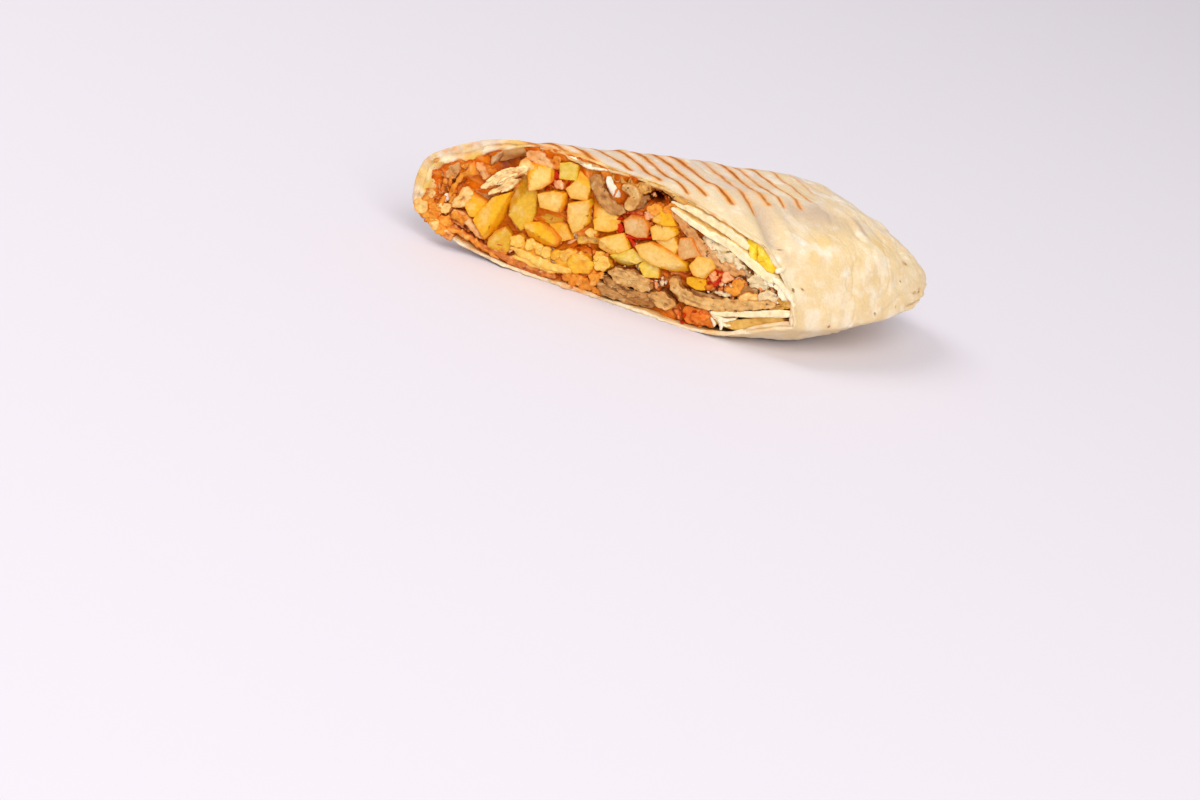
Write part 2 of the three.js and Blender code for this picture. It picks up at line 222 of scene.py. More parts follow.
# Food
SPACING = 0.45
OUTLINE_STEP = 0.35
GROWTH = 0.35
TILT = 0.16
FRY_DEPTH = 12
FRY_CORNER = 0.3
FRY_OUTLINE_STEP = 0.22
# Fries that show two sides: how near the ridge points are drawn to it, and how steeply the far side falls
RIDGE_SNAP = 0.4
FACET_SLOPE = 0.85
# Rings of a face from its middle out, and the first rings behind it
RINGS = np.array([0.12, 0.3, 0.5, 0.68, 0.82, 0.91, 0.965, 1.0])
FIRST_REACHES = (0.35, 0.9, 1.8)
# Filling core: how far its edge comes forward, and its hollows as s, z, radius and how much deeper
EDGE_FORWARD = 1.9
HOLLOWS = [
    (64.4, 43.8, 2.4, 7), (61, 44.6, 2.4, 7), (120, 36.8, 2.6, 6), (117.6, 40, 3, 7), (114.6, 42.8, 2.2, 6),
    (136, 24.6, 2.4, 3), (130.5, 17.4, 1.6, 3), (100, 35, 2, 3),
]

# Points on a span of a smooth curve, the noise's 32 bits, and the colour mix node's factor, A and B
SPAN_POINTS = 16
BITS = 0xFFFFFFFF
COLOR_MIX_INPUTS = (0, 6, 7)

# Curves
def cubic(t, start, start_slope, end, end_slope, span=1):
    return ((2 * t**3 - 3 * t**2 + 1) * start + (t**3 - 2 * t**2 + t) * span * start_slope
            + (3 * t**2 - 2 * t**3) * end + (t**3 - t**2) * span * end_slope)


def hermite(p0, p1, p2, p3):
    """Points of a smooth curve from p1 to p2; p0 and p3 are its neighbours."""
    d0, d1, d2 = (max(np.linalg.norm(b - a) ** 0.5, 1e-6) for a, b in ((p0, p1), (p1, p2), (p2, p3)))
    m1 = ((p1 - p0) / d0 - (p2 - p0) / (d0 + d1) + (p2 - p1) / d1) * d1
    m2 = ((p2 - p1) / d1 - (p3 - p1) / (d1 + d2) + (p3 - p2) / d2) * d1
    return cubic(np.linspace(0, 1, SPAN_POINTS, endpoint=False)[:, None], p1, m1, p2, m2)


def walked(line):
    """How far along a polyline each of its points lies."""
    return np.concatenate([[0], np.cumsum(np.linalg.norm(np.diff(line, axis=0), axis=1))])


def spaced(line, spacing, closed):
    """Evenly spaced points on a polyline."""
    if closed:
        line = np.vstack([line, line[:1]])
    walk = walked(line)
    count = max(6, int(round(walk[-1] / spacing)))
    at = np.linspace(0, walk[-1], count + (0 if closed else 1), endpoint=not closed)
    return np.stack([np.interp(at, walk, line[:, k]) for k in range(line.shape[1])], -1)


def smooth(points, spacing, closed=True):
    """A smooth line through the points."""
    p = np.array(points, float)
    q = np.vstack([p[-1:], p, p[:2]] if closed else [2 * p[0] - p[1], p, 2 * p[-1] - p[-2]])
    spans = [hermite(*q[i:i + 4]) for i in range(len(q) - 3)]
    if not closed:
        spans.append(p[-1:])
    return spaced(np.concatenate(spans), spacing, closed)


def cornered(points, radius, spacing):
    """A straight-sided outline with rounded corners."""
    p = np.array(points, float)
    line = []
    for before, corner, after in zip(np.roll(p, 1, 0), p, np.roll(p, -1, 0)):
        a, b = before - corner, after - corner
        la, lb = np.linalg.norm(a), np.linalg.norm(b)
        cut = min(radius, 0.45 * la, 0.45 * lb)
        start, end = corner + a / la * cut, corner + b / lb * cut
        for t in np.linspace(0, 1, 5):
            line.append((1 - t) ** 2 * start + 2 * t * (1 - t) * corner + t**2 * end)
    return spaced(np.array(line), spacing, True)


def facing_out(points, away):
    """The directions, turned round if they lead to the points' middle."""
    return -away if (away * (points - points.mean(0))).sum() < 0 else away


def outward_of(line):
    """Unit directions that lead out of a closed outline."""
    tangent = np.roll(line, -1, 0) - np.roll(line, 1, 0)
    tangent /= np.maximum(np.linalg.norm(tangent, axis=1, keepdims=True), 1e-6)
    return facing_out(line, np.stack([tangent[:, 1], -tangent[:, 0]], -1))


def profile(x):
    """Front edge, back edge, underside and top of the wrap at x."""
    xs, rows = END_STATIONS[:, 0], END_STATIONS[:, 1:]
    x = np.clip(x, xs[0], xs[-1])
    slope = np.gradient(rows, xs, axis=0)
    slope[0] = 0
    i = np.clip(np.searchsorted(xs, x) - 1, 0, len(xs) - 2)
    span = xs[i + 1] - xs[i]
    t = ((x - xs[i]) / span)[..., None]
    return cubic(t, rows[i], slope[i], rows[i + 1], slope[i + 1], span[..., None])


def station(s, z, x):
    """A point of the cut's outline carried along the wrap to x."""
    p = profile(x)
    y = p[..., 0] + s / CUT_LENGTH * (p[..., 1] - p[..., 0])
    return np.stack([x + 0 * y, y, p[..., 2] + z / THICKNESS * (p[..., 3] - p[..., 2])], -1)


def on_cut(s, z, depth):
    """A point by the cut's own measures."""
    s, z, depth = (np.asarray(v)[..., None] for v in (s, z, depth))
    return s * ALONG + z * UP + depth * INWARD


# Noise
def hashed(cell, seed):
    c = cell.astype(np.int64)
    h = (c[..., 0] * 73856093) ^ (c[..., 1] * 19349663) ^ (c[..., 2] * 83492791) ^ (seed * 2654435761)
    h = ((h & BITS) ^ ((h & BITS) >> 15)) * 2246822519 & BITS
    h = (h ^ (h >> 13)) * 3266489917 & BITS
    return (h ^ (h >> 16)) / BITS


def value_noise(p, seed):
    base = np.floor(p)
    f = p - base
    f = f * f * f * (f * (f * 6 - 15) + 10)
    total = 0
    for corner in np.ndindex(2, 2, 2):
        weight = np.prod(np.where(corner, f, 1 - f), axis=-1)
        total = total + weight * hashed(base + corner, seed)
    return total * 2 - 1


def fbm(p, size, octaves, seed):
    """Layered noise, about -1 to 1; size is the largest bump in millimetres."""
    total, gain = 0, 1.0
    for k in range(octaves):
        total = total + gain * value_noise(p / size * 2.03**k + 17.3 * k, seed + k)
        gain *= 0.52
    return total


# Colours
def linear(code):
    """Linear red, green and blue of a colour code."""
    c = np.array([int(code[i:i + 2], 16) for i in (1, 3, 5)]) / 255
    return np.where(c <= 0.04045, c / 12.92, ((c + 0.055) / 1.055) ** 2.4)


def mix(a, b, amount):
    """Blends two colours, each a code or linear values."""
    a = linear(a) if isinstance(a, str) else a
    b = linear(b) if isinstance(b, str) else b
    t = np.clip(np.asarray(amount, float), 0, 1)[..., None]
    return a * (1 - t) + b * t


def coated(color, *coats):
    """Lays coats, each a colour and how much of it, over a colour."""
    for coat, amount in coats:
        color = mix(color, coat, amount)
    return color


def step(value, start, end):
    """Rises smoothly from 0 to 1 between start and end."""
    t = np.clip((value - start) / (end - start), 0, 1)
    return t * t * (3 - 2 * t)


def between(value, start, risen, fall, end):
    """Rises smoothly from 0 to 1 and falls again."""
    return step(value, start, risen) * (1 - step(value, fall, end))


# Meshes
def grid_faces(rows, cols, closed):
    k, j = np.meshgrid(np.arange(rows - 1), np.arange(cols if closed else cols - 1), indexing="ij")
    a = k * cols + j
    b = k * cols + (j + 1) % cols
    return np.stack([a, b, b + cols, a + cols], -1).reshape(-1, 4)


def turned_out(points, quads, sample=slice(None)):
    """Faces and vertex normals, turned outward as a sample shows; a triangle repeats its last corner."""
    p = points[quads]
    face = np.cross(p[:, 2] - p[:, 0], p[:, 3] - p[:, 1])
    normal = np.zeros_like(points)
    for k in range(4):
        np.add.at(normal, quads[:, k], face)
    normal /= np.maximum(np.linalg.norm(normal, axis=1, keepdims=True), 1e-9)
    seen = points[sample]
    if ((seen - seen.mean(0)) * normal[sample]).sum() < 0:
        return quads[:, ::-1], -normal
    return quads, normal


def add_object(data):
    """Puts a mesh, lamp or camera in the scene under its own name."""
    obj = bpy.data.objects.new(data.name, data)
    bpy.context.scene.collection.objects.link(obj)
    return obj


def add_mesh(name, points, faces, material):
    mesh = bpy.data.meshes.new(name)
    mesh.from_pydata(points, [], faces)
    mesh.shade_smooth()
    mesh.materials.append(material)
    return add_object(mesh)


def add_piece(name, parts, family, *replaced):
    """Joins parts, each (points, faces, attributes), into one object in the part's frame."""
    slot, material = FINISHES[family]
    points, quads, count = [], [], 0
    for p, q, _ in parts:
        points.append(p)
        quads.append(q + count)
        count += len(p)
    points = (np.concatenate(points) + SHIFT) * MM
    quads = np.concatenate(quads)
    three_sided = quads[:, 3] == quads[:, 2]
    faces = [tuple(q[:3]) if three else tuple(q) for q, three in zip(quads.tolist(), three_sided)]
    obj = add_mesh(name, points.tolist(), faces, material)
    for key in parts[0][2]:
        values = np.concatenate([fields[key] for _, _, fields in parts])
        if values.ndim == 2:
            layer = obj.data.attributes.new(key, "FLOAT_COLOR", "POINT")
            layer.data.foreach_set("color", np.hstack([values, np.ones((len(values), 1))]).ravel())
        else:
            layer = obj.data.attributes.new(key, "FLOAT", "POINT")
            layer.data.foreach_set("value", values)
    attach(obj, "root")
    if replaced:
        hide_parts(*replaced)


# Bread surface
outline = smooth(OUTER, BREAD_STEP)
outline = np.roll(outline[::-1], 1, axis=0)
steps = np.linalg.norm(np.diff(np.vstack([outline, outline[:1]]), axis=0), axis=1)
arc = np.concatenate([[0], np.cumsum(steps)[:-1]])
PERIMETER = steps.sum()
outward = outward_of(outline)
edge_x = -outline[:, 0] * COS
noise_ring = np.column_stack([outline, np.zeros(len(outline))])

# The section's reach from its middle, by angle, to hold the fillings inside the bread
section = outline * (SIN, 1) - HEART
section_angle = np.arctan2(section[:, 1], section[:, 0])
section_order = np.argsort(section_angle)
section_reach = np.linalg.norm(section, axis=1)[section_order]
section_angle = section_angle[section_order]


def keep_inside(points, margin):
    """Moves points that would come within the margin of the skin in under it."""
    p = profile(points[:, 0])
    y = (points[:, 1] - p[:, 0]) / (p[:, 1] - p[:, 0]) * CUT_LENGTH * SIN
    z = (points[:, 2] - p[:, 2]) / (p[:, 3] - p[:, 2]) * THICKNESS
    away = np.stack([y, z], -1) - HEART
    reach = np.linalg.norm(away, axis=1)
    behind = points[:, 0] + points[:, 1] * COS / SIN
    # Deeper along the front fold, and where the upper edge hangs
    fold = step(behind, 1, 5) * (1 - step(y, 26, 38)) * step(z, 8, 16)
    hanging = between(y, 32, 44, 62, 70) * step(z, 42, 47) * step(behind, 0.5, 1.5)
    margin = margin + FOLD_MARGIN * fold + HANGING_MARGIN * hanging
    limit = np.interp(np.arctan2(away[:, 1], away[:, 0]), section_angle, section_reach, period=2 * math.pi)
    held = np.minimum(reach, np.maximum(limit - margin, 1)) / np.maximum(reach, 1e-6)
    y, z = (away * held[:, None] + HEART).T
    out = points.copy()
    out[:, 1] = p[:, 0] + y / (CUT_LENGTH * SIN) * (p[:, 1] - p[:, 0])
    out[:, 2] = p[:, 2] + z / THICKNESS * (p[:, 3] - p[:, 2])
    return out


def path_distance(x, a, path):
    """Distance to a polyline in (x, arc), and how far along it, 0 to 1."""
    best = np.full(x.shape, 1e9)
    along = np.zeros(x.shape)
    spans = len(path) - 1
    a = a - PERIMETER * np.round((a - path[0][1]) / PERIMETER)
    for k, ((x0, a0), (x1, a1)) in enumerate(zip(path, path[1:])):
        dx, da = x1 - x0, a1 - a0
        t = np.clip(((x - x0) * dx + (a - a0) * da) / (dx * dx + da * da), 0, 1)
        d = np.hypot(x - x0 - t * dx, a - a0 - t * da)
        along = np.where(d < best, (k + t) / spans, along)
        best = np.minimum(best, d)
    return best, along


def skin_relief(x, a, p):
    """How far the skin's waves, creases, folds and blisters rise at points p."""
    height = sum(rise * fbm(p, size, octaves, seed) for rise, size, octaves, seed in SKIN_WAVES)
    loose = step(x, -16, 8) * (0.4 + 0.6 * step(fbm(p, 26, 1, 83), -0.2, 0.3))
    for depth, seed in CREASES:
        height = height - depth * loose * np.exp(-((fbm(p, 17, 2, seed) / 0.045) ** 2))
    for path, rise, width in RELIEF:
        d, along = path_distance(x, a, path)
        height = height + rise * np.exp(-(d / width) ** 2) * (0.3 + 0.7 * between(along, 0, 0.2, 0.8, 1))
    blister = np.maximum(fbm(p, 6.5, 1, 11) - 0.45, 0) * 1.1
    return height + blister


def mark_fields(x, a):
    """Distance to the nearest grill mark in its own widths, and how strongly it is burnt there."""
    offset = np.full(x.shape, FAR_OFF)
    strength = np.zeros(x.shape)
    for (x0, a0), (x1, a1), power, width in MARKS:
        dx, da = x1 - x0, a1 - a0
        length = math.hypot(dx, da)
        along = ((x - x0) * dx + (a - a0) * da) / length
        spread = width * (1 + 0.35 * (1 - np.clip(along / length, 0, 1)))
        across = np.abs((x - x0) * da - (a - a0) * dx) / length / spread
        near = (1 - step(across * spread, 2.8, 3.8)) * step(along, -2.5, 2.5)
        near = near * (1 - step(along, length - 2, length + 1.5))
        offset = np.where(near * power > strength, across, offset)
        strength = np.maximum(strength, near * power)
    return offset, strength


def patches(x, a, spots):
    """How strongly round spots show."""
    total = np.zeros(x.shape)
    for px, pa, radius, power in spots:
        away = a - pa - PERIMETER * np.round((a - pa) / PERIMETER)
        total = np.maximum(total, power * np.exp(-((x - px) ** 2 + away**2) / radius**2))
    return total


def lining_rows(inner):
    """The closing wall deep inside, then the lining out to the rim."""
    rings = [(MIDDLE + (inner - MIDDLE) * share, LINING_DEPTH) for share in WALL_SHARES]
    for k in range(LINING_ROWS):
        depth = LINING_DEPTH * (1 - k / LINING_ROWS) ** 1.3
        sag = 0.6 * fbm(noise_ring + [0, 0, depth], 9, 2, 27) * min(depth / 4, 1)
        rings.append((inner - outward * np.maximum(sag, -0.6)[:, None], depth))
    return [station(ring[:, 0], ring[:, 1], depth - ring[:, 0] * COS) for ring, depth in rings]


def rim_rows(thick, droop):
    """The bread's cut edge, from the lining round to the skin."""
    ragged = 0.8 * fbm(noise_ring, 5, 3, 23) + 0.8 * np.maximum(fbm(noise_ring, 1.9, 2, 25), -0.2)
    seam_at = 0.45 + 0.12 * fbm(noise_ring, 12, 2, 29)
    seam = 1.1 * step(thick, 1.8, 3.4)
    rows = []
    for t in RIM_SHARES:
        ring = outline - outward * (thick * (1 - t) + droop)[:, None]
        rough = 0.5 * fbm(np.column_stack([ring, np.zeros(len(ring))]), 2.6, 3, 33)
        lip = math.sin(math.pi * t) ** 0.45
        forward = lip * (0.3 * np.minimum(thick, 1.8) + ragged + rough)
        forward = forward + 0.5 * droop - lip * seam * np.exp(-(((t - seam_at) / 0.1) ** 2))
        rows.append(on_cut(ring[:, 0], ring[:, 1], -forward))
    return rows


def skin_rows():
    """The skin from the cut to the closed end, and the small cap there."""
    rows = []
    for k in range(1, BREAD_ROWS + 1):
        x = edge_x + k / BREAD_ROWS * (END_X - CAP_START - edge_x)
        rows.append(station(outline[:, 0], np.maximum(outline[:, 1], 0), x))
    last = rows[-1]
    tip = last.mean(0) + [CAP_REACH, 0, 0]
    for t in CAP_SHARES:
        ring = tip + (last - tip) * [1, t, t]
        ring[:, 0] = last[:, 0] + (tip[0] - last[:, 0]) * math.sqrt(1 - t * t)
        rows.append(ring)
    return rows


def bread_parts():
    """Lining, cut edge and skin as one mesh with its colour and grill marks."""
    n = len(outline)
    thick = np.interp(arc, *zip(*RIM_THICKNESS)) * (1 + 0.22 * fbm(noise_ring, 7, 2, 21))
    droop = np.interp(arc, *zip(*DROOP)) * (1 + 0.4 * fbm(noise_ring, 5, 2, 35))
    lining = lining_rows(outline - outward * thick[:, None])
    rim = rim_rows(thick, droop)
    skin = skin_rows()
    rows = lining + rim + skin
    points = np.concatenate(rows)
    sample = (len(lining) + len(rim) + SAMPLE_ROW) * n
    quads, normal = turned_out(points, grid_faces(len(rows), n, True), slice(sample, sample + n))
    # 0 on the lining, 1 to 1.9 across the rim, 2 on the skin
    kind = np.repeat([0.0] * len(lining) + list(1.0 + 0.9 * RIM_SHARES) + [2.0] * len(skin), n)
    on_skin = kind == 2
    a = np.tile(arc, len(rows))
    x = points[:, 0]
    behind = x - np.tile(edge_x, len(rows))
    from_cut = np.clip(behind / 3, 0, 1)
    relief = skin_relief(x, a, points) * from_cut
    # The lining sinks wherever the skin does, and the skin hangs with the rim
    sunk = np.where(kind == 0, 1.1 * np.minimum(relief, 0) - 0.15 * from_cut, 0)[:, None]
    away = np.tile(outward[:, :1] * ALONG + outward[:, 1:] * UP, (len(rows), 1))
    hang = np.tile(droop, len(rows)) * np.exp(-((behind / 3.4) ** 2))
    points = points + away * sunk - away * np.where(on_skin, hang, 0)[:, None]
    relief = np.where(on_skin, relief, 0.12 * fbm(points, 2.2, 2, 31))
    resting = (1 - step(np.tile(outline[:, 1], len(rows)), 0.2, 1.5)) * on_skin * (1 - step(x, 4, 22))
    points = points + normal * (relief * (1 - 0.85 * resting))[:, None]
    points[:, 2] = np.maximum(points[:, 2], 0.02)
    offset, strength = mark_fields(x, a)
    strength = np.where(kind > 1.5, strength, 0)
    return points, quads, {"tint": bread_tint(points, x, a, kind), "offset": offset, "strength": strength}


def rim_tint(p, a, share, skin):
    """Colour of the cut edge; share runs from the lining to the skin."""
    side_wall = between(a, 122, 134, 180, 190)
    stained = step(fbm(p, 5, 2, 63) + 0.5 * (1 - share), 0.35, 1.1)
    return coated(
        mix(CRUMB, SHADED_CRUMB, 0.3 + 0.7 * fbm(p, 2.5, 2, 47)),
        (skin, step(share, 0.5, 0.95)),
        (GOLDEN_RIM, 0.95 * side_wall * step(fbm(p, 7, 2, 65), -0.5, 0.4)),
        (UPPER_RIM, 0.7 * between(a, 50, 66, 120, 130)),
        (STAIN, stained * (0.8 - 0.45 * side_wall - 0.55 * step(a, 250, 270))),
    )


def bread_tint(p, x, a, kind):
    """Colour of the bread: random tones, oil, flour, painted shade on the top and far side, on a patch of
    the top just behind the cut, along folds and by the closed end's notch, and specks; then the lining and
    the cut edge.
    """
    cloud = fbm(p, 14, 3, 41)
    fine = fbm(p, 3, 3, 43)
    blotch = fbm(p, 6, 4, 71)
    # Painted shade on the top and far side of the skin, by arc
    top_shade_amount = step(a + 6 * cloud, 60, 96) * (1 - step(a, 200, 250))
    thin = 0.35 + 0.65 * step(x, -14, 10) - 0.45 * step(x, 30, 58)
    # Painted shade over a patch of the top just behind the cut, where the key light lands too brightly
    shoulder_shade_amount = np.exp(-(((x - 8) / 26) ** 2 + ((a - 66) / 16) ** 2))
    color = coated(
        mix(CREAM, SHADED, 0.3 + 0.5 * cloud),
        (TOP_SHADE, (0.85 + 0.3 * cloud) * top_shade_amount),
        (OILED, step(patches(x, a, OILY) + 0.35 * cloud + 0.15 * fine, 0.25, 0.95) * 0.9),
        (FLOUR, step(patches(x, a, FLOURY) + 0.25 * fine, 0.3, 0.8) * 0.85),
        (FLOUR, step(fine, 0.45, 0.9) * 0.5),
        (FLOUR, step(blotch, -0.1, 0.6) * 0.45 * thin),
        (TANNED, step(-blotch, -0.1, 0.6) * 0.5 * thin),
        (SHOULDER_SHADE, (0.75 + 0.4 * cloud) * shoulder_shade_amount),
        # Painted shade, browner, in the closed end's notch and by its lip
        (NOTCH_SHADE, step(patches(x, a, NOTCH_SHADE_PATCHES) + 0.25 * fine, 0.3, 1.0) * 0.8),
    )
    # Painted shade along the folds
    for path, width, power in FOLD_SHADE_PATHS:
        d, along = path_distance(x, a, path)
        ends = between(along, 0, 0.2, 0.75, 1)
        color = mix(color, FOLD_SHADE, power * np.exp(-((d / width) ** 2)) * ends)
    for sx, sa, radius in SPECKS:
        color = mix(color, SPECK, 1 - step(np.hypot(x - sx, a - sa), radius * 0.4, radius * 1.1))
    to_cut = x + np.interp(a, arc, outline[:, 0]) * COS
    wet = step(fbm(p, 5, 2, 61) + 0.5 * fine, -0.1, 0.7) * (1 - step(to_cut, 0.5, 5))
    color = mix(color, STAIN, wet * (1 - step(a, 215, 240)) * step(a, 40, 70) * 0.75)
    lining = mix(LINING, STAINED_LINING, 0.45 + 0.6 * fbm(p, 5, 3, 45))
    rim = rim_tint(p, a, np.clip((kind - 1) / 0.9, 0, 1), color)
    return np.select([(kind == 0)[:, None], (kind < 2)[:, None]], [lining, rim], color)


# Blocks: a face in the cut's plane and the body that runs back from it
def grown(points, amount):
    """A straight-sided outline with every side moved out."""
    p = np.array(points, float)
    side = np.roll(p, -1, 0) - p
    away = np.stack([side[:, 1], -side[:, 0]], -1) / np.linalg.norm(side, axis=1, keepdims=True)
    away = facing_out(p, away)
    both = away + np.roll(away, 1, 0)
    return p + amount * both / np.maximum((both * away).sum(1, keepdims=True), 0.5)


def ragged_outline(points, growth, amount, seed):
    """Pushes an outline out a little, unevenly."""
    spot = np.column_stack([points, np.full(len(points), 3.0 * seed)])
    return points + outward_of(points) * (growth + amount * fbm(spot, 2.6, 3, seed))[:, None]


def disc_face(line):
    """Rings from an outline's middle out to it: points, faces, distance to the edge, length, border."""
    centre = line.mean(0)
    away = line - centre
    reach = np.linalg.norm(away, axis=1)
    n = len(line)
    rings = centre + RINGS[:, None, None] * away
    points = np.vstack([rings.reshape(-1, 2), centre])
    edge = np.append((1 - RINGS)[:, None] * reach, reach.mean())
    _, axes = np.linalg.eigh(away.T @ away)
    length = (points - centre) @ axes[:, 1]
    inner = np.arange(n)
    fan = np.stack([np.full(n, len(points) - 1), np.roll(inner, -1), inner, inner], -1)
    border = (len(RINGS) - 1) * n + inner[::-1]
    return points, np.vstack([grid_faces(len(RINGS), n, True), fan]), edge, length, border


def ribbon_face(rows, spacing):
    """A band along a centre line of (s, z, full width), as disc_face gives it."""
    line = smooth(rows, spacing, False)
    direction = np.gradient(line[:, :2], axis=0)
    direction /= np.linalg.norm(direction, axis=1, keepdims=True)
    across = np.stack([-direction[:, 1], direction[:, 0]], -1)
    walk = walked(line[:, :2])
    half = line[:, 2] / 2
    to_end = np.minimum(walk, walk[-1] - walk)
    half = half * np.sqrt(np.clip((to_end + 0.25) / np.maximum(half, 0.3), 0.05, 1))
    count = max(5, int(round(line[:, 2].max() / spacing)) | 1)
    v = np.sin(np.linspace(-1, 1, count) * 1.35) / math.sin(1.35)
    grid = line[:, None, :2] + across[:, None] * (half[:, None] * v)[..., None]
    edge = np.minimum((1 - np.abs(v)) * half[:, None], to_end[:, None] + 0 * v)
    index = np.arange(edge.size).reshape(edge.shape)
    border = np.concatenate([index[0, :-1], index[:-1, -1], index[-1, :0:-1], index[:0:-1, 0]])
    length = walk[:, None] + 0 * v
    return grid.reshape(-1, 2), grid_faces(*edge.shape, False), edge.ravel(), length.ravel(), border


def faceted(face, angle, share):
    """Finds the part of a face beyond a ridge, and puts the points near the ridge on it."""
    points, quads, edge, length, border = face
    turn = math.radians(angle)
    direction = np.array([math.cos(turn), math.sin(turn)])
    reach = (points - points.mean(0)) @ direction
    ridge = share * reach.max()
    snapped = np.where(np.abs(reach - ridge) < RIDGE_SNAP, ridge - reach, 0)
    points = points + snapped[:, None] * direction
    return (points, quads, edge, length, border), np.maximum(reach + snapped - ridge, 0)


def body(face, proud, run, depth, rounding, spacing, tilt, beyond):
    """Closed solid from a face; gives points, quads, and fields: edge, depth, front, side and length."""
    flat, front_quads, edge, length, loop = face
    curve = np.sqrt(np.maximum(rounding**2 - (rounding - edge) ** 2, 0))
    back = np.where(edge < rounding, rounding - curve, 0)
    lean = (flat - flat.mean(0)) @ np.array(tilt)
    front = np.column_stack([flat, back + lean + FACET_SLOPE * beyond - proud])
    base, m = len(front), len(loop)
    run = np.asarray(run, float)
    reaches = list(FIRST_REACHES)
    while reaches[-1] < depth:
        reaches.append(min(reaches[-1] + max(spacing * 1.6, 1.0), depth))
    rings = [front[loop] + run * d for d in reaches]
    tail = front[loop].mean(0) + run * depth
    points = np.vstack([front] + rings + [tail[None]])
    ring_index = [loop] + [base + k * m + np.arange(m) for k in range(len(rings))]
    quads = [front_quads]
    for a, b in zip(ring_index, ring_index[1:]):
        quads.append(np.stack([a, b, np.roll(b, -1), np.roll(a, -1)], -1))
    end = ring_index[-1]
    top = np.full(m, len(points) - 1)
    quads.append(np.stack([end, top, np.roll(end, -1), np.roll(end, -1)], -1))
    none = np.zeros(len(points) - base)
    fields = {
        "edge": np.concatenate([edge, none]),
        "depth": np.concatenate([back] + [np.full(m, d + rounding) for d in reaches] + [[depth]]),
        "front": np.concatenate([np.ones(base), none]),
        "side": np.concatenate([step(beyond, 0, 0.25), none]),
        "length": np.concatenate([length] + [length[loop]] * len(rings) + [[0]]),
    }
    return points, np.concatenate(quads), fields


def finish_body(made, rough, grain, fibre, seed, inside):
    """Carries a body from the cut's measures to the cut frame and roughens it."""
    points, quads, fields = made
    world = on_cut(points[:, 0], points[:, 1], points[:, 2])
    quads, normal = turned_out(world, quads)
    bump = fbm(world, grain, 3, seed) * rough * np.where(fields["front"] > 0, 0.75, 1.0)
    if fibre:
        lines = np.stack([fields["length"] / 4.5, fields["edge"] / 0.8, fields["depth"] / 2.5 + seed], -1)
        bump = bump + fibre * np.minimum(fbm(lines, 1.0, 2, seed + 5), 0.25)
    world = world + normal * bump[:, None]
    return keep_inside(world, inside), quads, fields, bump


# Kinds of food: colours of the cut face, its outer edge, its side, and deep down the sauce, darkened by
# painted shade
KINDS = {
    "fry": ("#F8D284", "#F2AE1E", "#F6B810", "#A8440A"),
    "fry_green": ("#F2D66E", "#ECC22E", "#E6B414", "#9A4C0A"),
    "fry_tan": ("#E9C08A", "#E88E34", "#E68C2C", "#A03A0A"),
    "fry_gold": ("#F8C22E", "#F3AC12", "#F2A606", "#A8440A"),
    "fry_pale": ("#F7DA92", "#F2B428", "#F4BA22", "#A8440A"),
    "fry_olive": ("#EEC044", "#E4AC22", "#DC9E10", "#964A0A"),
    "doner": ("#DCA670", "#C08044", "#B27034", "#7A340E"),
    "doner_pale": ("#F2C68E", "#E0A462", "#D08C48", "#8A3E14"),
    "doner_red": ("#EE9A58", "#DA7430", "#CC6422", "#8A2A0A"),
    "doner_gold": ("#ECBC68", "#DE9E3A", "#D08C2A", "#8A440C"),
    "doner_pink": ("#EEB886", "#DE9A5C", "#D08446", "#8A380E"),
    "doner_porous": ("#F2C07A", "#DE9E4C", "#CE8A3C", "#8A440E"),
    "chicken": ("#FADFA8", "#F0A850", "#EE9632", "#B04A0C"),
    "chicken_pink": ("#F2C090", "#E4924E", "#E08438", "#A0300A"),
    "spiced": ("#F3AC56", "#E2862C", "#DA7418", "#962E04"),
    "cheese": ("#FAD68A", "#F4B648", "#F4AA1C", "#C0600C"),
    "cheese_gold": ("#F9C440", "#EFA420", "#EE9C10", "#B0540A"),
    "curd": ("#F5E6C4", "#E8CA98", "#E2BC82", "#9A6438"),
    "curd_grey": ("#D8BA94", "#B89262", "#AC7E4A", "#743C1C"),
    "curd_pink": ("#FACEA4", "#F2A060", "#EC8C3C", "#A42A08"),
    "yellow": ("#FBDC2A", "#F6C81E", "#F6C00C", "#D08C08"),
    "layer": ("#FCEABC", "#FCF0D0", "#F6DA98", "#E2A648"),
    "layer_gold": ("#E2B04C", "#E8C06A", "#D49430", "#B06818"),
    "flour": ("#FEF8E8", "#FCEECB", "#F8E6BE", "#F0D8A8"),
    "film": ("#DDBA8C", "#D09C62", "#C88A48", "#A05820"),
    "red": ("#DE3C06", "#CC3004", "#B42600", "#701000"),
    "red_meat": ("#F28C3C", "#F6A45A", "#D8500C", "#8A1A02"),
    "white_sauce": ("#FCF6EC", "#F8E8CE", "#F0D4AC", "#D8A468"),
    "core": ("#F08A14", "#D8620A", "#C05A08", "#962A00"),
    "chicken_white": ("#FFEACA", "#FBD6A0", "#F2B468", "#CC7024"),
    "doner_dark": ("#C08A58", "#A8683A", "#8E4E22", "#6A2A0A"),
}
# How much red, green and blue each family keeps, to match the photograph's warm light
TONE = {
    "fry": (0.94, 0.91, 0.7), "doner": (0.88, 0.85, 0.62), "chicken": (1.0, 1.0, 0.78),
    "spiced": (0.98, 0.95, 0.55), "cheese": (0.98, 0.96, 0.6), "red": (0.9, 0.7, 0.3),
    "core": (0.95, 0.9, 0.4),
}
OTHER_TONE = (0.97, 0.96, 0.9)
SMOOTH = ("white", "layer", "film", "flour", "yellow", "cheese")


def family_of(kind):
    """The first word of a kind, which says how it is made."""
    return kind.split("_")[0]


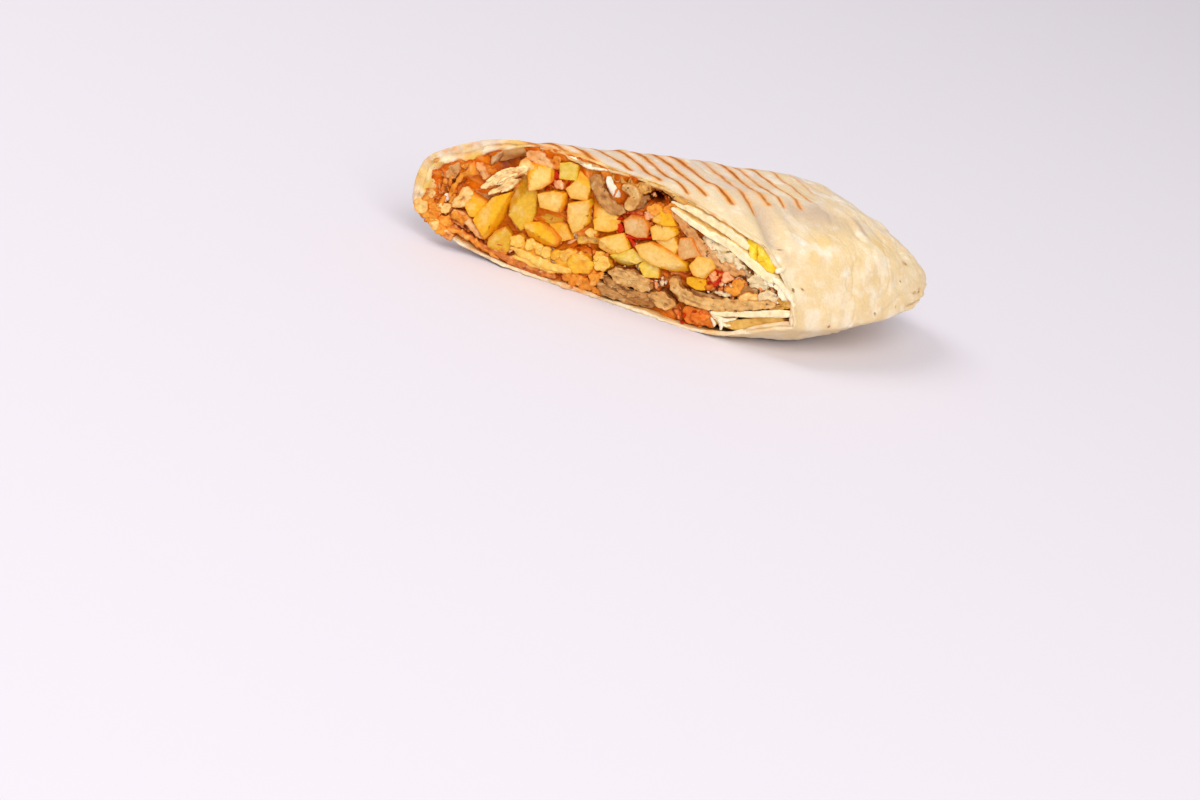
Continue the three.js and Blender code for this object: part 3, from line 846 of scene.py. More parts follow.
def food_tint(kind, world, fields, bump, rough, seed):
    """Colour of one bit: face, edge, side, dips darkened as painted shade and high spots lightened as
    painted highlight, then the sauce, with painted shade, further behind the cut.
    """
    face, rim, side, sauce_and_shade = KINDS[kind]
    family = family_of(kind)
    # Paler face colour: real paleness in the middle of fry faces, painted highlight on high spots of other
    # food
    pale_and_highlight = mix(face, HIGHLIGHT, 0.45)
    fine = fbm(world, 1.5, 3, seed + 51)
    broad = fbm(world, 4.5, 2, seed + 53)
    if family == "fry":
        reddened, contrast = 0.12 + 0.3 * broad, 0.04
        margin = np.exp(-fields["edge"] / 0.95)
        smear = step(0.7 * fbm(world, 6, 2, seed + 57) + 0.9 * margin + 0.2 * fine, 0.7, 1.2)
        last = [(pale_and_highlight, step(broad + 0.3 * fine, -0.1, 0.8) * 0.6 * (1 - margin)), (SMEAR, smear * 0.6)]
    else:
        reddened, contrast = 0.30 + 0.55 * broad, 0.12
        margin = np.exp(-fields["edge"] / 0.6)
        # Painted shade: dips take the dark sauce colour; painted highlight: high spots take the paler colour
        pit_shade = 0.25 if family in SMOOTH else 0.6
        sunk, raised_highlight = step(-bump, rough * 0.25, rough * 1.2), step(bump, rough * 0.2, rough)
        last = [(sauce_and_shade, sunk * pit_shade), (pale_and_highlight, raised_highlight * 0.6)]
    color = coated(
        mix(face, rim, reddened),
        (rim, margin * 0.9),
        (side, fields["side"] * 0.85),
        (side, (1 - fields["front"]) * (0.85 + 0.3 * fine)),
        *last,
    )
    color = color * (1 + contrast * fine)[:, None]
    # Sauce and painted shade: further behind the cut the colour turns to the dark sauce colour
    color = mix(color, sauce_and_shade, step(fields["depth"] + 0.8 * broad, 0.8, 5) * 0.9)
    # Painted shade deeper in the core's hollows
    if family == "core":
        color = mix(color, HOLLOW_SHADE, step(fields["depth"], 1.8, 4.6) * 0.9)
    return np.clip(color * np.array(TONE.get(family, OTHER_TONE)), 0, 1)


# How each family is made: bump height, bump size, fibre, rounding of the edge, raggedness of the outline
FORM = {
    "fry": (0.09, 1.6, 0, 0.22, 0.14),
    "doner": (0.5, 1.6, 0.4, 0.45, 0.5),
    "chicken": (0.5, 1.7, 0.4, 0.45, 0.5),
    "spiced": (0.85, 1.8, 0.2, 0.5, 0.8),
    "cheese": (0.65, 2, 0, 0.7, 0.6),
    "curd": (0.75, 1.5, 0, 0.5, 0.8),
    "yellow": (0.8, 2.2, 0, 0.6, 0.6),
    "layer": (0.25, 2.6, 0, 0.3, 0.4),
    "flour": (0.45, 1.8, 0, 0.3, 0.8),
    "film": (0.25, 2.2, 0, 0.2, 0.5),
    "red": (0.45, 2, 0, 0.6, 0.7),
    "white": (0.35, 2.6, 0, 0.7, 0.3),
    "core": (1.1, 2.6, 0, 0.3, 0.2),
}


def carve(points, fields):
    """Brings the filling core's edge forward and sinks its hollows."""
    front = fields["front"]
    dents = [-EDGE_FORWARD * np.exp(-fields["edge"] / 2.2)]
    for s, z, radius, deeper in HOLLOWS:
        dents.append(deeper * np.exp(-((points[:, 0] - s) ** 2 + (points[:, 1] - z) ** 2) / radius**2))
    for dent in dents:
        points[:, 2] += dent * front
        fields["depth"] += dent * front


def chunk(kind, shape, proud, depth, yaw, pitch, seed, spacing=SPACING, inside=1.0, facet=None):
    """One bit of food. Its shape is a list of corners (s, z), or of (s, z, width) along a band."""
    family = family_of(kind)
    rough, grain, fibre, rounding, ragged = FORM[family]
    tilt = (TILT * math.sin(1.7 * seed), TILT * math.sin(2.9 * seed + 1))
    beyond = None
    if len(shape[0]) == 3:
        face = ribbon_face(shape, spacing)
        rounding = min(rounding, min(width for _, _, width in shape) * 0.45)
        tilt = (0.0, 0.0)
    elif family == "fry":
        line = cornered(grown(shape, GROWTH), FRY_CORNER, FRY_OUTLINE_STEP)
        face = disc_face(ragged_outline(line, 0, ragged, seed))
        if facet:
            face, beyond = faceted(face, *facet)
    else:
        face = disc_face(ragged_outline(smooth(shape, OUTLINE_STEP), GROWTH, ragged, seed))
    if beyond is None:
        beyond = np.zeros(len(face[0]))
    turn = math.radians(yaw)
    run = (-math.sin(turn), math.sin(math.radians(pitch)), math.cos(turn))
    made = body(face, proud, run, depth, rounding, spacing, tilt, beyond)
    if family == "core":
        carve(made[0], made[2])
    world, quads, fields, bump = finish_body(made, rough, grain, fibre, seed, inside)
    return world, quads, {"tint": food_tint(kind, world, fields, bump, rough, seed)}


# Materials
def nodes_of(name):
    material = bpy.data.materials.new(name)
    material.use_nodes = True
    tree = material.node_tree
    return material, tree, tree.nodes["Principled BSDF"]


def settle(node, **settings):
    """Sets a node's own settings, and its sockets, whose names have _ for a space here."""
    for key, value in settings.items():
        if hasattr(node, key):
            setattr(node, key, value)
        else:
            node.inputs[key.replace("_", " ")].default_value = value
    return node


def add(tree, kind, **settings):
    return settle(tree.nodes.new(kind), **settings)


def feed(tree, socket, value):
    """Sets a socket to a number or a colour, or links an output to it."""
    if isinstance(value, str):
        socket.default_value = (*linear(value), 1)
    elif isinstance(value, (int, float)):
        socket.default_value = value
    else:
        tree.links.new(value, socket)


def noise(tree, coordinates, scale, detail=3.0):
    node = add(tree, "ShaderNodeTexNoise", Scale=scale, Detail=detail, Roughness=0.6)
    feed(tree, node.inputs["Vector"], coordinates)
    return node.outputs["Fac"]


def ramp(tree, value, start, end, low=0.0, high=1.0):
    node = add(tree, "ShaderNodeMapRange", interpolation_type="SMOOTHSTEP", From_Min=start, From_Max=end,
               To_Min=low, To_Max=high)
    feed(tree, node.inputs["Value"], value)
    return node.outputs["Result"]


def calc(tree, operation, a, b):
    node = add(tree, "ShaderNodeMath", operation=operation)
    for socket, value in zip(node.inputs, (a, b)):
        feed(tree, socket, value)
    return node.outputs[0]


def times(tree, a, b):
    return calc(tree, "MULTIPLY", a, b)


def blend(tree, factor, a, b, mode="MIX"):
    node = add(tree, "ShaderNodeMix", data_type="RGBA", blend_type=mode)
    for number, value in zip(COLOR_MIX_INPUTS, (factor, a, b)):
        feed(tree, node.inputs[number], value)
    return node.outputs[2]


def attribute(tree, name, output="Color"):
    return add(tree, "ShaderNodeAttribute", attribute_name=name).outputs[output]


def bumped(tree, shader, height, distance):
    node = add(tree, "ShaderNodeBump", Strength=1.0, Distance=distance)
    feed(tree, node.inputs["Height"], height)
    feed(tree, shader.inputs["Normal"], node.outputs["Normal"])


def food_material(name, roughness, gloss, translucent, grain, relief, speckle=None, wet=0.12):
    material, tree, shader = nodes_of(name)
    place = add(tree, "ShaderNodeTexCoord").outputs["Object"]
    fine = noise(tree, place, grain, 4)
    tint = attribute(tree, "tint")
    color = blend(tree, ramp(tree, fine, 0.62, 0.36, 0.0, 0.32), tint, tint, "MULTIPLY")
    if speckle:
        spots = ramp(tree, noise(tree, place, grain * 0.7, 2), 0.64, 0.72)
        color = blend(tree, spots, color, speckle)
    dull = ramp(tree, noise(tree, place, grain * 0.4), 0.3, 0.7, roughness - 0.08, roughness + 0.1)
    feed(tree, shader.inputs["Base Color"], color)
    feed(tree, shader.inputs["Roughness"], dull)
    settle(shader, Specular_IOR_Level=gloss, Coat_Weight=wet, Coat_Roughness=0.12)
    if translucent:
        settle(shader, Subsurface_Weight=translucent, Subsurface_Radius=(1.0, 0.55, 0.25),
               Subsurface_Scale=0.0009)
    bumped(tree, shader, fine, relief)
    return material


def bread_material():
    material, tree, shader = nodes_of("bread_skin")
    place = add(tree, "ShaderNodeTexCoord").outputs["Object"]
    fine = noise(tree, place, 1100, 4)
    patchy = noise(tree, place, 260, 4)
    color = blend(tree, ramp(tree, fine, 0.3, 0.7, 0.0, 0.16), attribute(tree, "tint"), GRAIN, "MULTIPLY")
    wobble = times(tree, calc(tree, "SUBTRACT", patchy, 0.5), 0.7)
    across = calc(tree, "ADD", attribute(tree, "offset", "Fac"), wobble)
    broken = ramp(tree, noise(tree, place, 150, 3), 0.3, 0.6, 0.55, 1.0)
    power = times(tree, times(tree, attribute(tree, "strength", "Fac"), broken), 1.35)
    power = calc(tree, "MINIMUM", power, 1.0)
    toast = times(tree, ramp(tree, across, 2.2, 0.4), power)
    char = times(tree, ramp(tree, across, 0.85, 0.2), power)
    color = blend(tree, times(tree, toast, 0.85), color, TOAST)
    color = blend(tree, times(tree, char, 0.95), color, CHAR)
    feed(tree, shader.inputs["Base Color"], color)
    feed(tree, shader.inputs["Roughness"], ramp(tree, patchy, 0.3, 0.7, 0.42, 0.62))
    settle(shader, Specular_IOR_Level=0.3, Subsurface_Weight=0.22, Subsurface_Radius=(1.0, 0.8, 0.5),
           Subsurface_Scale=0.001)
    bumped(tree, shader, calc(tree, "SUBTRACT", fine, times(tree, char, 0.8)), 0.00025)
    return material


# Slot and material of each family; a food's numbers are roughness, gloss, translucency, grain and relief
FINISHES = {
    "bread": ("bread", bread_material()),
    "fry": ("fries", food_material("fried_potato", 0.55, 0.12, 0.12, 900, 0.00016)),
    "doner": ("doner_meat", food_material("doner", 0.6, 0.12, 0.0, 700, 0.0004, "#6E4632")),
    "chicken": ("chicken", food_material("chicken", 0.55, 0.15, 0.1, 600, 0.0003)),
    "spiced": ("spiced_chicken", food_material("spiced_chicken", 0.55, 0.08, 0.05, 600, 0.0004, wet=0.08)),
    "cheese": ("melted_cheese", food_material("cheese", 0.4, 0.25, 0.15, 500, 0.0002, wet=0.35)),
    "curd": ("white_curd", food_material("curd", 0.6, 0.2, 0.12, 800, 0.0003, "#8E8578")),
    "yellow": ("yellow_cheese", food_material("yellow_cheese", 0.35, 0.25, 0.15, 500, 0.0002)),
    "layer": ("bread", food_material("bread_layers", 0.6, 0.3, 0.15, 900, 0.0002)),
    "red": ("pepper_sauce", food_material("pepper_sauce", 0.3, 0.1, 0.05, 400, 0.0003, wet=0.06)),
    "white": ("white_sauce", food_material("white_sauce", 0.35, 0.4, 0.15, 400, 0.0002)),
}

# The bread
add_piece("bread_skin", [bread_parts()], "bread", "bread")

# Fries: kind, how far they stand out, yaw and pitch of the body, corners as they show,
# and for one that shows a second side the way it faces, from the s axis, and where its ridge runs
FRIES = [
    ("fry_gold", 1.3, 20, 0, [(128.2, 18.4), (126.8, 23.4), (120.8, 22.1), (121.6, 16), (125.2, 15.4)]),
    ("fry_gold", 2.2, 25, 5, [(113.9, 28.4), (113.8, 23.8), (114, 17), (115.3, 11.5), (117.6, 8.4),
        (123.5, 14.3), (122.6, 17.2), (119.2, 24.5)], 195, 0.3),
    ("fry_olive", 0.6, 10, 0, [(116.2, 8.6), (114.8, 12.2), (111.8, 15.3), (109.1, 13.2), (106.8, 7.8),
        (110, 4.3), (115.7, 6.2)]),
    ("fry_olive", 1.3, 15, -5, [(111.4, 38.4), (106.4, 34), (104.2, 30), (103.3, 24.7), (103.3, 19.8),
        (106.1, 16.2), (111.4, 20.3), (113.2, 26)], 20, 0.15),
    ("fry_pale", 2.8, 20, 10, [(110, 38.4), (108.3, 40.8), (102.5, 41.7), (101, 37.1), (103.5, 34),
        (107.3, 32.2)], 10, 0.4),
    ("fry", 2.2, 20, 5, [(103.8, 31.4), (99.3, 34), (94.5, 34.3), (93.7, 30.5), (94.5, 27.6),
        (101.8, 27.3)], 170, 0.6),
    ("fry_green", 1, 15, -10, [(99.6, 44.6), (96.2, 46.3), (93.6, 46.3), (92.5, 40.5), (98.3, 39.2)]),
    ("fry", 1.4, 10, -10, [(92.9, 45.8), (89.3, 47.2), (87.2, 41), (86.7, 35.1), (92.2, 33.6), (94.8, 36.1),
        (92.6, 40)], 100, 0),
    ("fry_olive", -2, 25, 10, [(102.5, 21.7), (100, 25.1), (93.4, 25.6), (92, 23.1), (97, 20),
        (101.4, 19.1)]),
    ("fry_gold", 1.8, 20, 0, [(105.9, 18.7), (101, 20.8), (95.6, 20.5), (91.9, 17.7), (92.3, 14.6),
        (96.7, 13.7), (102.2, 14.1)], 280, 0.2),
    ("fry_gold", 0.3, 35, 0, [(96.5, 21.6), (93.2, 23.4), (91, 23.5), (87.7, 18.7), (90.7, 16.8)]),
    ("fry", 1.8, 15, 5, [(92.3, 31.6), (85.9, 35), (83, 26.8), (87.7, 21.4), (90.7, 25.5)], 180, 0.6),
    ("fry_gold", 1, 25, 5, [(83.7, 34.4), (80.5, 35.1), (73, 31.9), (72.8, 27.9), (75.8, 26.1),
        (80.6, 25.5)], 30, 0.35),
    ("fry", 2, 20, 5, [(77.9, 22.8), (70.2, 27.1), (66.7, 22.5), (72.3, 18.3), (77, 19.4)], 290, 0.35),
    ("fry_green", 1, 30, 0, [(72, 17.9), (65.3, 22.7), (59.9, 20.5), (65, 15.5), (68.2, 15.5)], 270, 0.3),
    ("fry_tan", 1.6, 15, 5, [(71.5, 32), (69.6, 34.6), (65.3, 35.2), (62.5, 32.5), (62, 28.9), (65.2, 27.7),
        (69.5, 27.9)], 60, 0.6),
    ("fry_gold", 0.6, 20, 5, [(62.3, 37.7), (60.9, 40.5), (56.3, 39.4), (53.4, 36.4), (57, 35), (61.4, 35)]),
    ("fry", 1.2, 20, 5, [(61.5, 32.3), (58.8, 35), (54.2, 35.9), (52.3, 33.2), (54.7, 30.6),
        (59.4, 28.9)], 90, 0.45),
    ("fry_pale", 0.8, 30, 0, [(58.5, 28.8), (52.6, 31.9), (50.3, 29), (50.7, 26.1), (54, 26.3)]),
    ("fry_tan", 1.2, 20, 5, [(50, 32.3), (46.5, 33.5), (41.6, 28.4), (47.9, 24.6), (50, 28.5)]),
    ("fry", 2, 20, 5, [(64.5, 24.7), (60.2, 27.6), (51.3, 26.3), (45.8, 23.4), (43.7, 21), (48.3, 19.2),
        (57.2, 20.1), (61.9, 21.8)], 250, 0.5),
    ("fry_green", 0.4, 20, 0, [(61.1, 17.5), (59.4, 20.5), (54.5, 20.5), (53.4, 15.3), (58.1, 14.4)]),
    ("fry", 1.6, 20, 5, [(43.7, 24), (42.1, 28), (37, 28.4), (34.7, 25.8), (37.1, 20.8),
        (41.5, 21.3)], 220, 0.5),
    ("fry_gold", 0.6, 20, 0, [(43.1, 19), (40.2, 20), (36.6, 20), (35.9, 16.7), (38.8, 15.7), (42.5, 17.2)]),
    ("fry_pale", 1, 20, 0, [(83.4, 23.1), (82.4, 24.8), (79.9, 24.8), (79.4, 22.3), (81.7, 22)]),
    ("fry_olive", -1.2, 20, 0, [(86, 19.6), (79.2, 22.7), (77.6, 20.4), (84.8, 17.7)]),
]
fries = []
for number, (kind, proud, yaw, pitch, corners, *facet) in enumerate(FRIES):
    fries.append(chunk(kind, corners, proud, FRY_DEPTH, yaw, pitch, 100 + 7 * number, facet=facet))
add_piece("fries_cut", fries, "fry", "fries")

# The soft filling between and behind the pieces
CORE = [
    (142, 14), (142.6, 20), (141.2, 27), (136, 32), (130, 35.4), (124, 40.2), (118, 44), (111, 47),
    (103, 48.4), (92, 48.8), (78, 48.6), (66, 47), (57, 42.4), (44, 37.6), (30, 31.5), (16, 26.5), (8, 22),
    (14, 16), (22, 9.5), (30, 4), (40, 1.6), (60, 1.1), (90, 1.1), (106, 1.4), (119, 3), (130, 5.4),
    (138, 8.8),
]
core = chunk("core", CORE, -2.2, 14, 25, 0, 900, spacing=0.6, inside=1.1)
add_piece("filling_core", [core], "spiced")

# Meat, cheese and sauce: name, family, CAD nodes, then each bit's kind, stand-out, depth and shape,
# and how far under the skin it stays where that isn't 1
PIECES = [
    ("doner_slice_cut", "doner", ["doner_slice"], [
        ("doner_pale", 1.4, 14, [(48, 17.5, 3.2), (46, 14, 4.4), (41, 12, 4.6), (34, 12, 4.8),
            (24, 14.5, 4.6), (14, 18.5, 3.6), (9.5, 20, 2)]),
    ]),
    ("doner_side_cut", "doner", ["doner_side"], [
        ("doner_pink", 0.8, 14, [(56, 41, 2.4), (50, 37, 3.4), (44, 33, 4.2), (40, 30, 4.2), (34, 27.5, 3.2),
            (26, 25.8, 2.2)]),
        ("doner_pink", 0.4, 10, [(34.5, 27.5), (31, 29.5), (27.5, 29.5), (23.5, 27.5), (27, 25.5),
            (31, 26)]),
    ]),
    ("doner_curl_cut", "doner", ["doner_curl"], [
        ("doner", 1.3, 10, [(86.4, 45.2, 4.4), (85, 41.8, 4.8), (82, 38.2, 4.8), (78.6, 35.8, 4.6),
            (74.8, 35, 4.2), (72, 36.2, 3.4)]),
        ("doner_pale", 1.8, 9, [(75.6, 43.8, 3), (72.6, 44, 4.2), (70.6, 42, 4.2), (70.9, 38.8, 4.2),
            (72, 36, 3.4)]),
        ("doner_dark", -0.6, 9, [(69, 41), (67.4, 42.3), (66.2, 42.8), (66.2, 41.3), (67, 39),
            (68.5, 37.5)]),
    ]),
    ("doner_top_cut", "doner", ["doner_top"], [
        ("doner_porous", 0.2, 12, [(89, 46.2, 1.8), (84, 47.6, 2), (78, 48.6, 1.8), (70, 48.6, 1.8)]),
        ("doner_porous", 0.6, 8, [(80.4, 47.6, 0.8), (80, 45.4, 0.8), (77.8, 45, 0.8), (77.4, 47.8, 0.8)]),
        ("doner_porous", 0.4, 8, [(77.2, 47.8, 0.8), (76.8, 45.6, 0.8), (74.4, 45.4, 0.8), (74, 47.8, 0.8)]),
        ("doner_porous", 0.5, 8, [(73.8, 48, 0.8), (73.4, 46, 0.8), (70.8, 46, 0.8), (70.2, 48, 1)]),
        ("doner_porous", 0.5, 12, [(70.5, 47.2, 2.4), (66, 48, 2.2), (61, 47.8, 1.8), (57, 46.8, 2.6),
            (52, 45.4, 2.4)]),
        ("doner_porous", 0.9, 9, [(69.8, 47.2), (67.4, 48), (66, 46.4), (67.6, 43.8), (69.4, 43.6)]),
    ]),
    ("doner_base_cut", "doner", ["doner_base"], [
        ("doner_pale", 1.4, 12, [(71, 12), (68, 14.8), (63, 15), (56, 12.4), (54, 10.6), (58, 8.4),
            (66, 9)]),
        ("doner", 0.8, 12, [(72.5, 9.6), (68, 9), (60, 7.6), (54, 7.8), (54.5, 5.6), (62, 5.4), (70, 7)]),
        ("doner", 0.4, 12, [(73, 6.2), (70, 6.6), (62, 5), (53, 5.8), (50, 4.6), (56, 2.8), (68, 2.6),
            (72, 4)]),
        ("doner_pale", 0.8, 12, [(54, 8), (51, 10.2), (46.5, 9.4), (44, 7.5), (45, 5.2), (50, 4.8),
            (53, 6)]),
    ]),
    ("doner_strip_cut", "doner", ["doner_strip"], [
        ("doner_red", 0.5, 14, [(131, 8.6, 1.6), (124, 7, 2.4), (116, 4.8, 2.6), (106, 3.4, 3),
            (98, 3.2, 3.6), (88.5, 3, 3)]),
    ]),
    ("chicken_strip_cut", "chicken", ["chicken_strip"], [
        ("chicken_white", 1.6, 9, [(124.2, 26.6, 0.8), (121, 29.6, 3.2), (117.6, 33, 4.2),
            (113.6, 36.6, 3.4), (110.6, 39.4, 1.4)]),
        ("chicken_white", 2.2, 9, [(121, 25.6, 0.7), (118.4, 28, 2.6), (115, 31.4, 2.8), (112, 34.4, 0.9)]),
        ("chicken_white", 2, 8, [(122.8, 29.8, 0.6), (120, 33.4, 1.8), (117, 36, 1.8), (113.6, 38.6, 0.6)]),
        ("chicken_white", 2.9, 7, [(119.4, 30.4, 0.6), (116.4, 33.8, 1.6), (113, 36.8, 0.6)]),
        ("chicken_white", 2, 8, [(117, 27.6, 0.6), (114.4, 30.6, 1.7), (112.6, 33, 0.6)]),
        ("chicken", 1.3, 8, [(113.6, 39.8), (111.4, 41.4), (108.8, 40), (108.4, 38), (110.6, 36.8),
            (113, 37.4)]),
    ]),
    ("chicken_sliver_cut", "chicken", ["chicken_sliver"], [
        ("chicken_pink", 1, 8, [(128.6, 34.7, 1.2), (126.4, 33.4, 2.4), (124.6, 31.6, 2.6),
            (124, 29.4, 1.2)]),
        ("spiced", -0.5, 7, [(124, 34), (122.5, 35), (121, 34), (121, 32), (122.5, 31)]),
        ("film", -0.8, 7, [(123.4, 35.3, 1), (123.3, 38.6, 1.8), (122.1, 41.1, 2), (119.3, 43.1, 1.8),
            (115.9, 44.5, 0.8)]),
    ]),
    ("chicken_crumb_cut", "spiced", ["chicken_crumb"], [
        ("doner_pink", -0.4, 8, [(140.3, 28.7), (137, 31.6), (134.9, 31.5), (134.1, 29.7), (134.4, 26.1),
            (136.8, 25.5), (139.4, 25.6)]),
        ("spiced", -0.4, 8, [(137.4, 31.6), (133.4, 33.8), (129.8, 35), (129.8, 33.4), (133, 31.6),
            (136.5, 30.4)]),
        ("spiced", 1.2, 7, [(129.9, 34.5, 2.6), (128.9, 32, 3.4), (130.8, 29.8, 2.6), (132.4, 28, 1.8),
            (133.2, 25.4, 1.7), (134.1, 22.5, 2), (134.3, 19.4, 1.6)]),
        ("spiced", -2.5, 7, [(143, 23.7), (140, 23), (135, 24), (135, 21.5), (139, 19.2), (142.5, 20.5)]),
        ("chicken", -0.8, 7, [(134, 33.3), (130.5, 35), (129.8, 34), (132, 31), (133.5, 31.5)]),
        ("doner_pink", -1.8, 8, [(131.7, 26), (129.5, 27.5), (122, 26.5), (117.5, 26), (120.5, 23.5),
            (121, 21), (127, 23), (130.5, 22), (132, 19), (133, 21)]),
        ("red_meat", -1, 7, [(133.4, 23.4), (131.4, 24.4), (130.8, 21.4), (132.6, 18.8), (133.6, 20.4)]),
    ]),
    ("chicken_rough_cut", "spiced", ["chicken_rough"], [
        ("spiced", 0.6, 9, [(140.3, 15), (137.5, 14.8), (137, 12.4), (135.3, 10.8), (137.8, 10),
            (140, 12.5)]),
        ("chicken", 0.3, 9, [(137.5, 15.3), (135, 16.8), (132.4, 16.2), (133.5, 13.2), (136, 12.6)]),
        ("spiced", 0.6, 9, [(136, 10.5), (133.5, 11.6), (130.7, 10.4), (131.5, 8.2), (134.5, 7.8)]),
        ("spiced", 0, 8, [(134.6, 20), (132.5, 19.6), (132, 17.4), (134, 17)]),
        ("chicken", 1.2, 7, [(132.4, 16.4), (130.1, 23.6), (128.3, 24.8), (126.8, 23.7), (128, 18.2),
            (130.2, 17)]),
        ("chicken", 0.2, 6, [(144.6, 16.6), (141.2, 19.5), (140.1, 18.4), (141, 16.4), (143.4, 15.7)]),
        ("spiced", 0.2, 7, [(143.4, 14.6), (140.4, 16.4), (138.6, 14.6), (140.6, 12.2), (142.6, 12.8)]),
        ("spiced", 0.8, 7, [(136, 19, 1.6), (136.6, 16, 2.4), (135.6, 13.6, 1.8)]),
        ("spiced", 1.4, 7, [(131.4, 13.2), (128.6, 14.6), (126.6, 13.2), (128.6, 11.6), (130.6, 11.6)]),
        ("spiced", 1.6, 6, [(141.6, 10.8), (139, 11.4), (136.8, 9.8), (137.4, 7.4), (140.4, 7.8)], -0.5),
        ("chicken", 2.1, 5, [(138.2, 9.2), (136, 9.8), (134.6, 8), (135.4, 6.2), (137.6, 6.6)], -0.6),
        ("spiced", 1.8, 6, [(136, 7.6), (133.4, 8.4), (131.6, 6.8), (132.4, 4.8), (135, 5)], -0.5),
        ("chicken_pink", 1.6, 6, [(133, 6.4), (131, 7.2), (128.8, 6), (129.6, 4.2), (132, 4.2)], -0.4),
        ("chicken", 1.3, 6, [(145.6, 13), (143.4, 14.6), (141.4, 13.2), (141.8, 11), (144.4, 10.6)], -0.3),
        ("spiced", 1, 6, [(143.6, 11.4), (141.4, 11.6), (140.4, 9.8), (142, 8.6)], -0.3),
    ]),
    ("chicken_low_cut", "chicken", ["chicken_low"], [
        ("chicken_pink", 1, 10, [(131.5, 14.5, 2.6), (127.5, 13.8, 3.4), (122.5, 11, 3.4), (118, 8.6, 2)]),
        ("spiced", 0.9, 10, [(132, 8, 1.4), (127, 7.6, 1.6), (121, 6, 1.6), (116, 4.4, 1.6),
            (110, 2.6, 1.2)]),
    ]),
    ("chicken_top_cut", "chicken", ["chicken_top"], [
        ("chicken_pink", 0.6, 9, [(112.5, 44), (109, 46), (105, 45.2), (102, 42.5), (103, 41), (108, 41.4),
            (111, 42.4)]),
        ("spiced", 0.6, 8, [(102.6, 44.8), (101, 45.6), (99.6, 43.5), (100.8, 41.8), (102.2, 43)]),
        ("curd_pink", 1, 7, [(100.2, 37.7), (98, 38), (96, 36.4), (97.5, 35.4), (99.5, 36.2)]),
        ("chicken_pink", -0.2, 9, [(112, 46.4, 1.8), (107.5, 47.6, 2.4), (103, 47.6, 1.8)]),
        ("chicken", -0.2, 9, [(103.4, 47, 1.8), (100, 47.4, 2.2), (97, 46.8, 1.6)]),
        ("curd_pink", -0.4, 9, [(97.4, 47.6, 1.2), (93, 48.2, 1.6), (88, 48.2, 1.4)]),
        ("spiced", -0.6, 9, [(116.5, 45.4, 1), (113.4, 46.4, 1.4), (110.6, 47, 1.2)]),
    ]),
    ("cheese_layer_cut", "cheese", ["cheese_layer"], [
        ("cheese_gold", 0.2, 11, [(107, 10.6, 2.6), (100, 10, 5), (93, 9.6, 5.4), (86, 10.2, 6),
            (79, 10.6, 4)]),
        ("cheese", 1.2, 11, [(108, 8.6, 1.6), (102, 7.6, 3.2), (96, 6.6, 3.6), (90, 6.4, 3.2),
            (84, 7.2, 1.8)]),
        ("cheese", 0.9, 10, [(108.5, 12), (105.8, 13.8), (103.6, 12.2), (104.6, 10), (107.5, 9.8)]),
        ("cheese", 1.4, 10, [(103.2, 11), (102.6, 13.4), (100.4, 13.6), (99.8, 11), (101.4, 9.8)]),
        ("cheese", 1, 10, [(99.8, 10.4), (99.4, 12.6), (97.4, 13), (96.6, 11), (97.6, 9.4)]),
        ("cheese", 1.5, 9, [(96.4, 10.6), (95.6, 12.6), (93.6, 12), (93.4, 10), (95, 9)]),
        ("cheese_gold", 0.9, 9, [(93.4, 10.6), (92.4, 12.6), (90.2, 12.4), (90, 10), (91.8, 9.2)]),
        ("cheese", 0.8, 11, [(106.5, 5.4, 1.4), (100, 5.2, 2), (94, 4.8, 2.2), (88, 5, 1.4)]),
        ("cheese", 0.8, 10, [(90.2, 12.5), (87.5, 14.4), (85, 14), (84.6, 12), (88, 10.3)]),
        ("cheese_gold", 1.4, 11, [(85.6, 12), (82.6, 14), (78.4, 13.8), (76.8, 11.6), (77.4, 9), (82, 7.4),
            (85.4, 8.4)]),
        ("cheese", 1.8, 8, [(84.4, 13.6), (83, 15), (81, 14.6), (82, 12.8)]),
        ("cheese", 1.2, 10, [(77.3, 13.6), (76.5, 16.6), (73, 16.4), (71.4, 13.8), (73, 11.4),
            (76.3, 11.2)]),
        ("cheese", 1.6, 8, [(78, 15.6), (76.5, 17.7), (75.2, 16.6), (76.8, 14.6)]),
    ]),
    ("chicken_bits_cut", "spiced", ["chicken_bits"], [
        ("spiced", 0.3, 9, [(86.4, 4.4), (82, 6.8), (79.9, 5), (81, 2.6), (85, 2.4)]),
        ("spiced", 0.5, 9, [(83, 5.4), (80, 6.8), (76.8, 5), (76, 3), (80, 2.4)]),
        ("spiced", 1, 9, [(77, 8.4), (74, 10), (72.5, 8), (74, 5.4), (76.4, 6)]),
        ("spiced", 0.4, 8, [(74.5, 3.6), (71.2, 4.4), (70, 2.8), (73.5, 2.2)]),
    ]),
    ("pepper_bits_cut", "red", ["pepper_bits"], [
        ("red_meat", -0.4, 8, [(40.5, 7.4), (35, 8.6), (31, 8.6), (28.5, 6), (29, 3.8), (33, 2.8),
            (38.5, 2.6)]),
        ("red_meat", 0.6, 7, [(37, 6.5), (34, 8), (31.5, 6.5), (33, 4.5), (36, 4.4)]),
    ]),
    ("chicken_lumps_cut", "spiced", ["chicken_lumps"], [
        ("spiced", 1, 8, [(27.5, 22), (25.5, 24.2), (23, 24), (24, 20.5), (26, 18.5), (27.7, 19.6)]),
        ("curd_pink", 1.2, 6, [(31.3, 24.5), (30, 25.2), (29, 24), (30.2, 22.6)]),
        ("curd_pink", 1.2, 6, [(31.7, 20.6), (31, 22), (30, 21), (30.8, 19.5)]),
        ("curd_pink", 1.6, 6, [(35.6, 22.4), (34.6, 24.5), (33, 23.6), (33.8, 21)]),
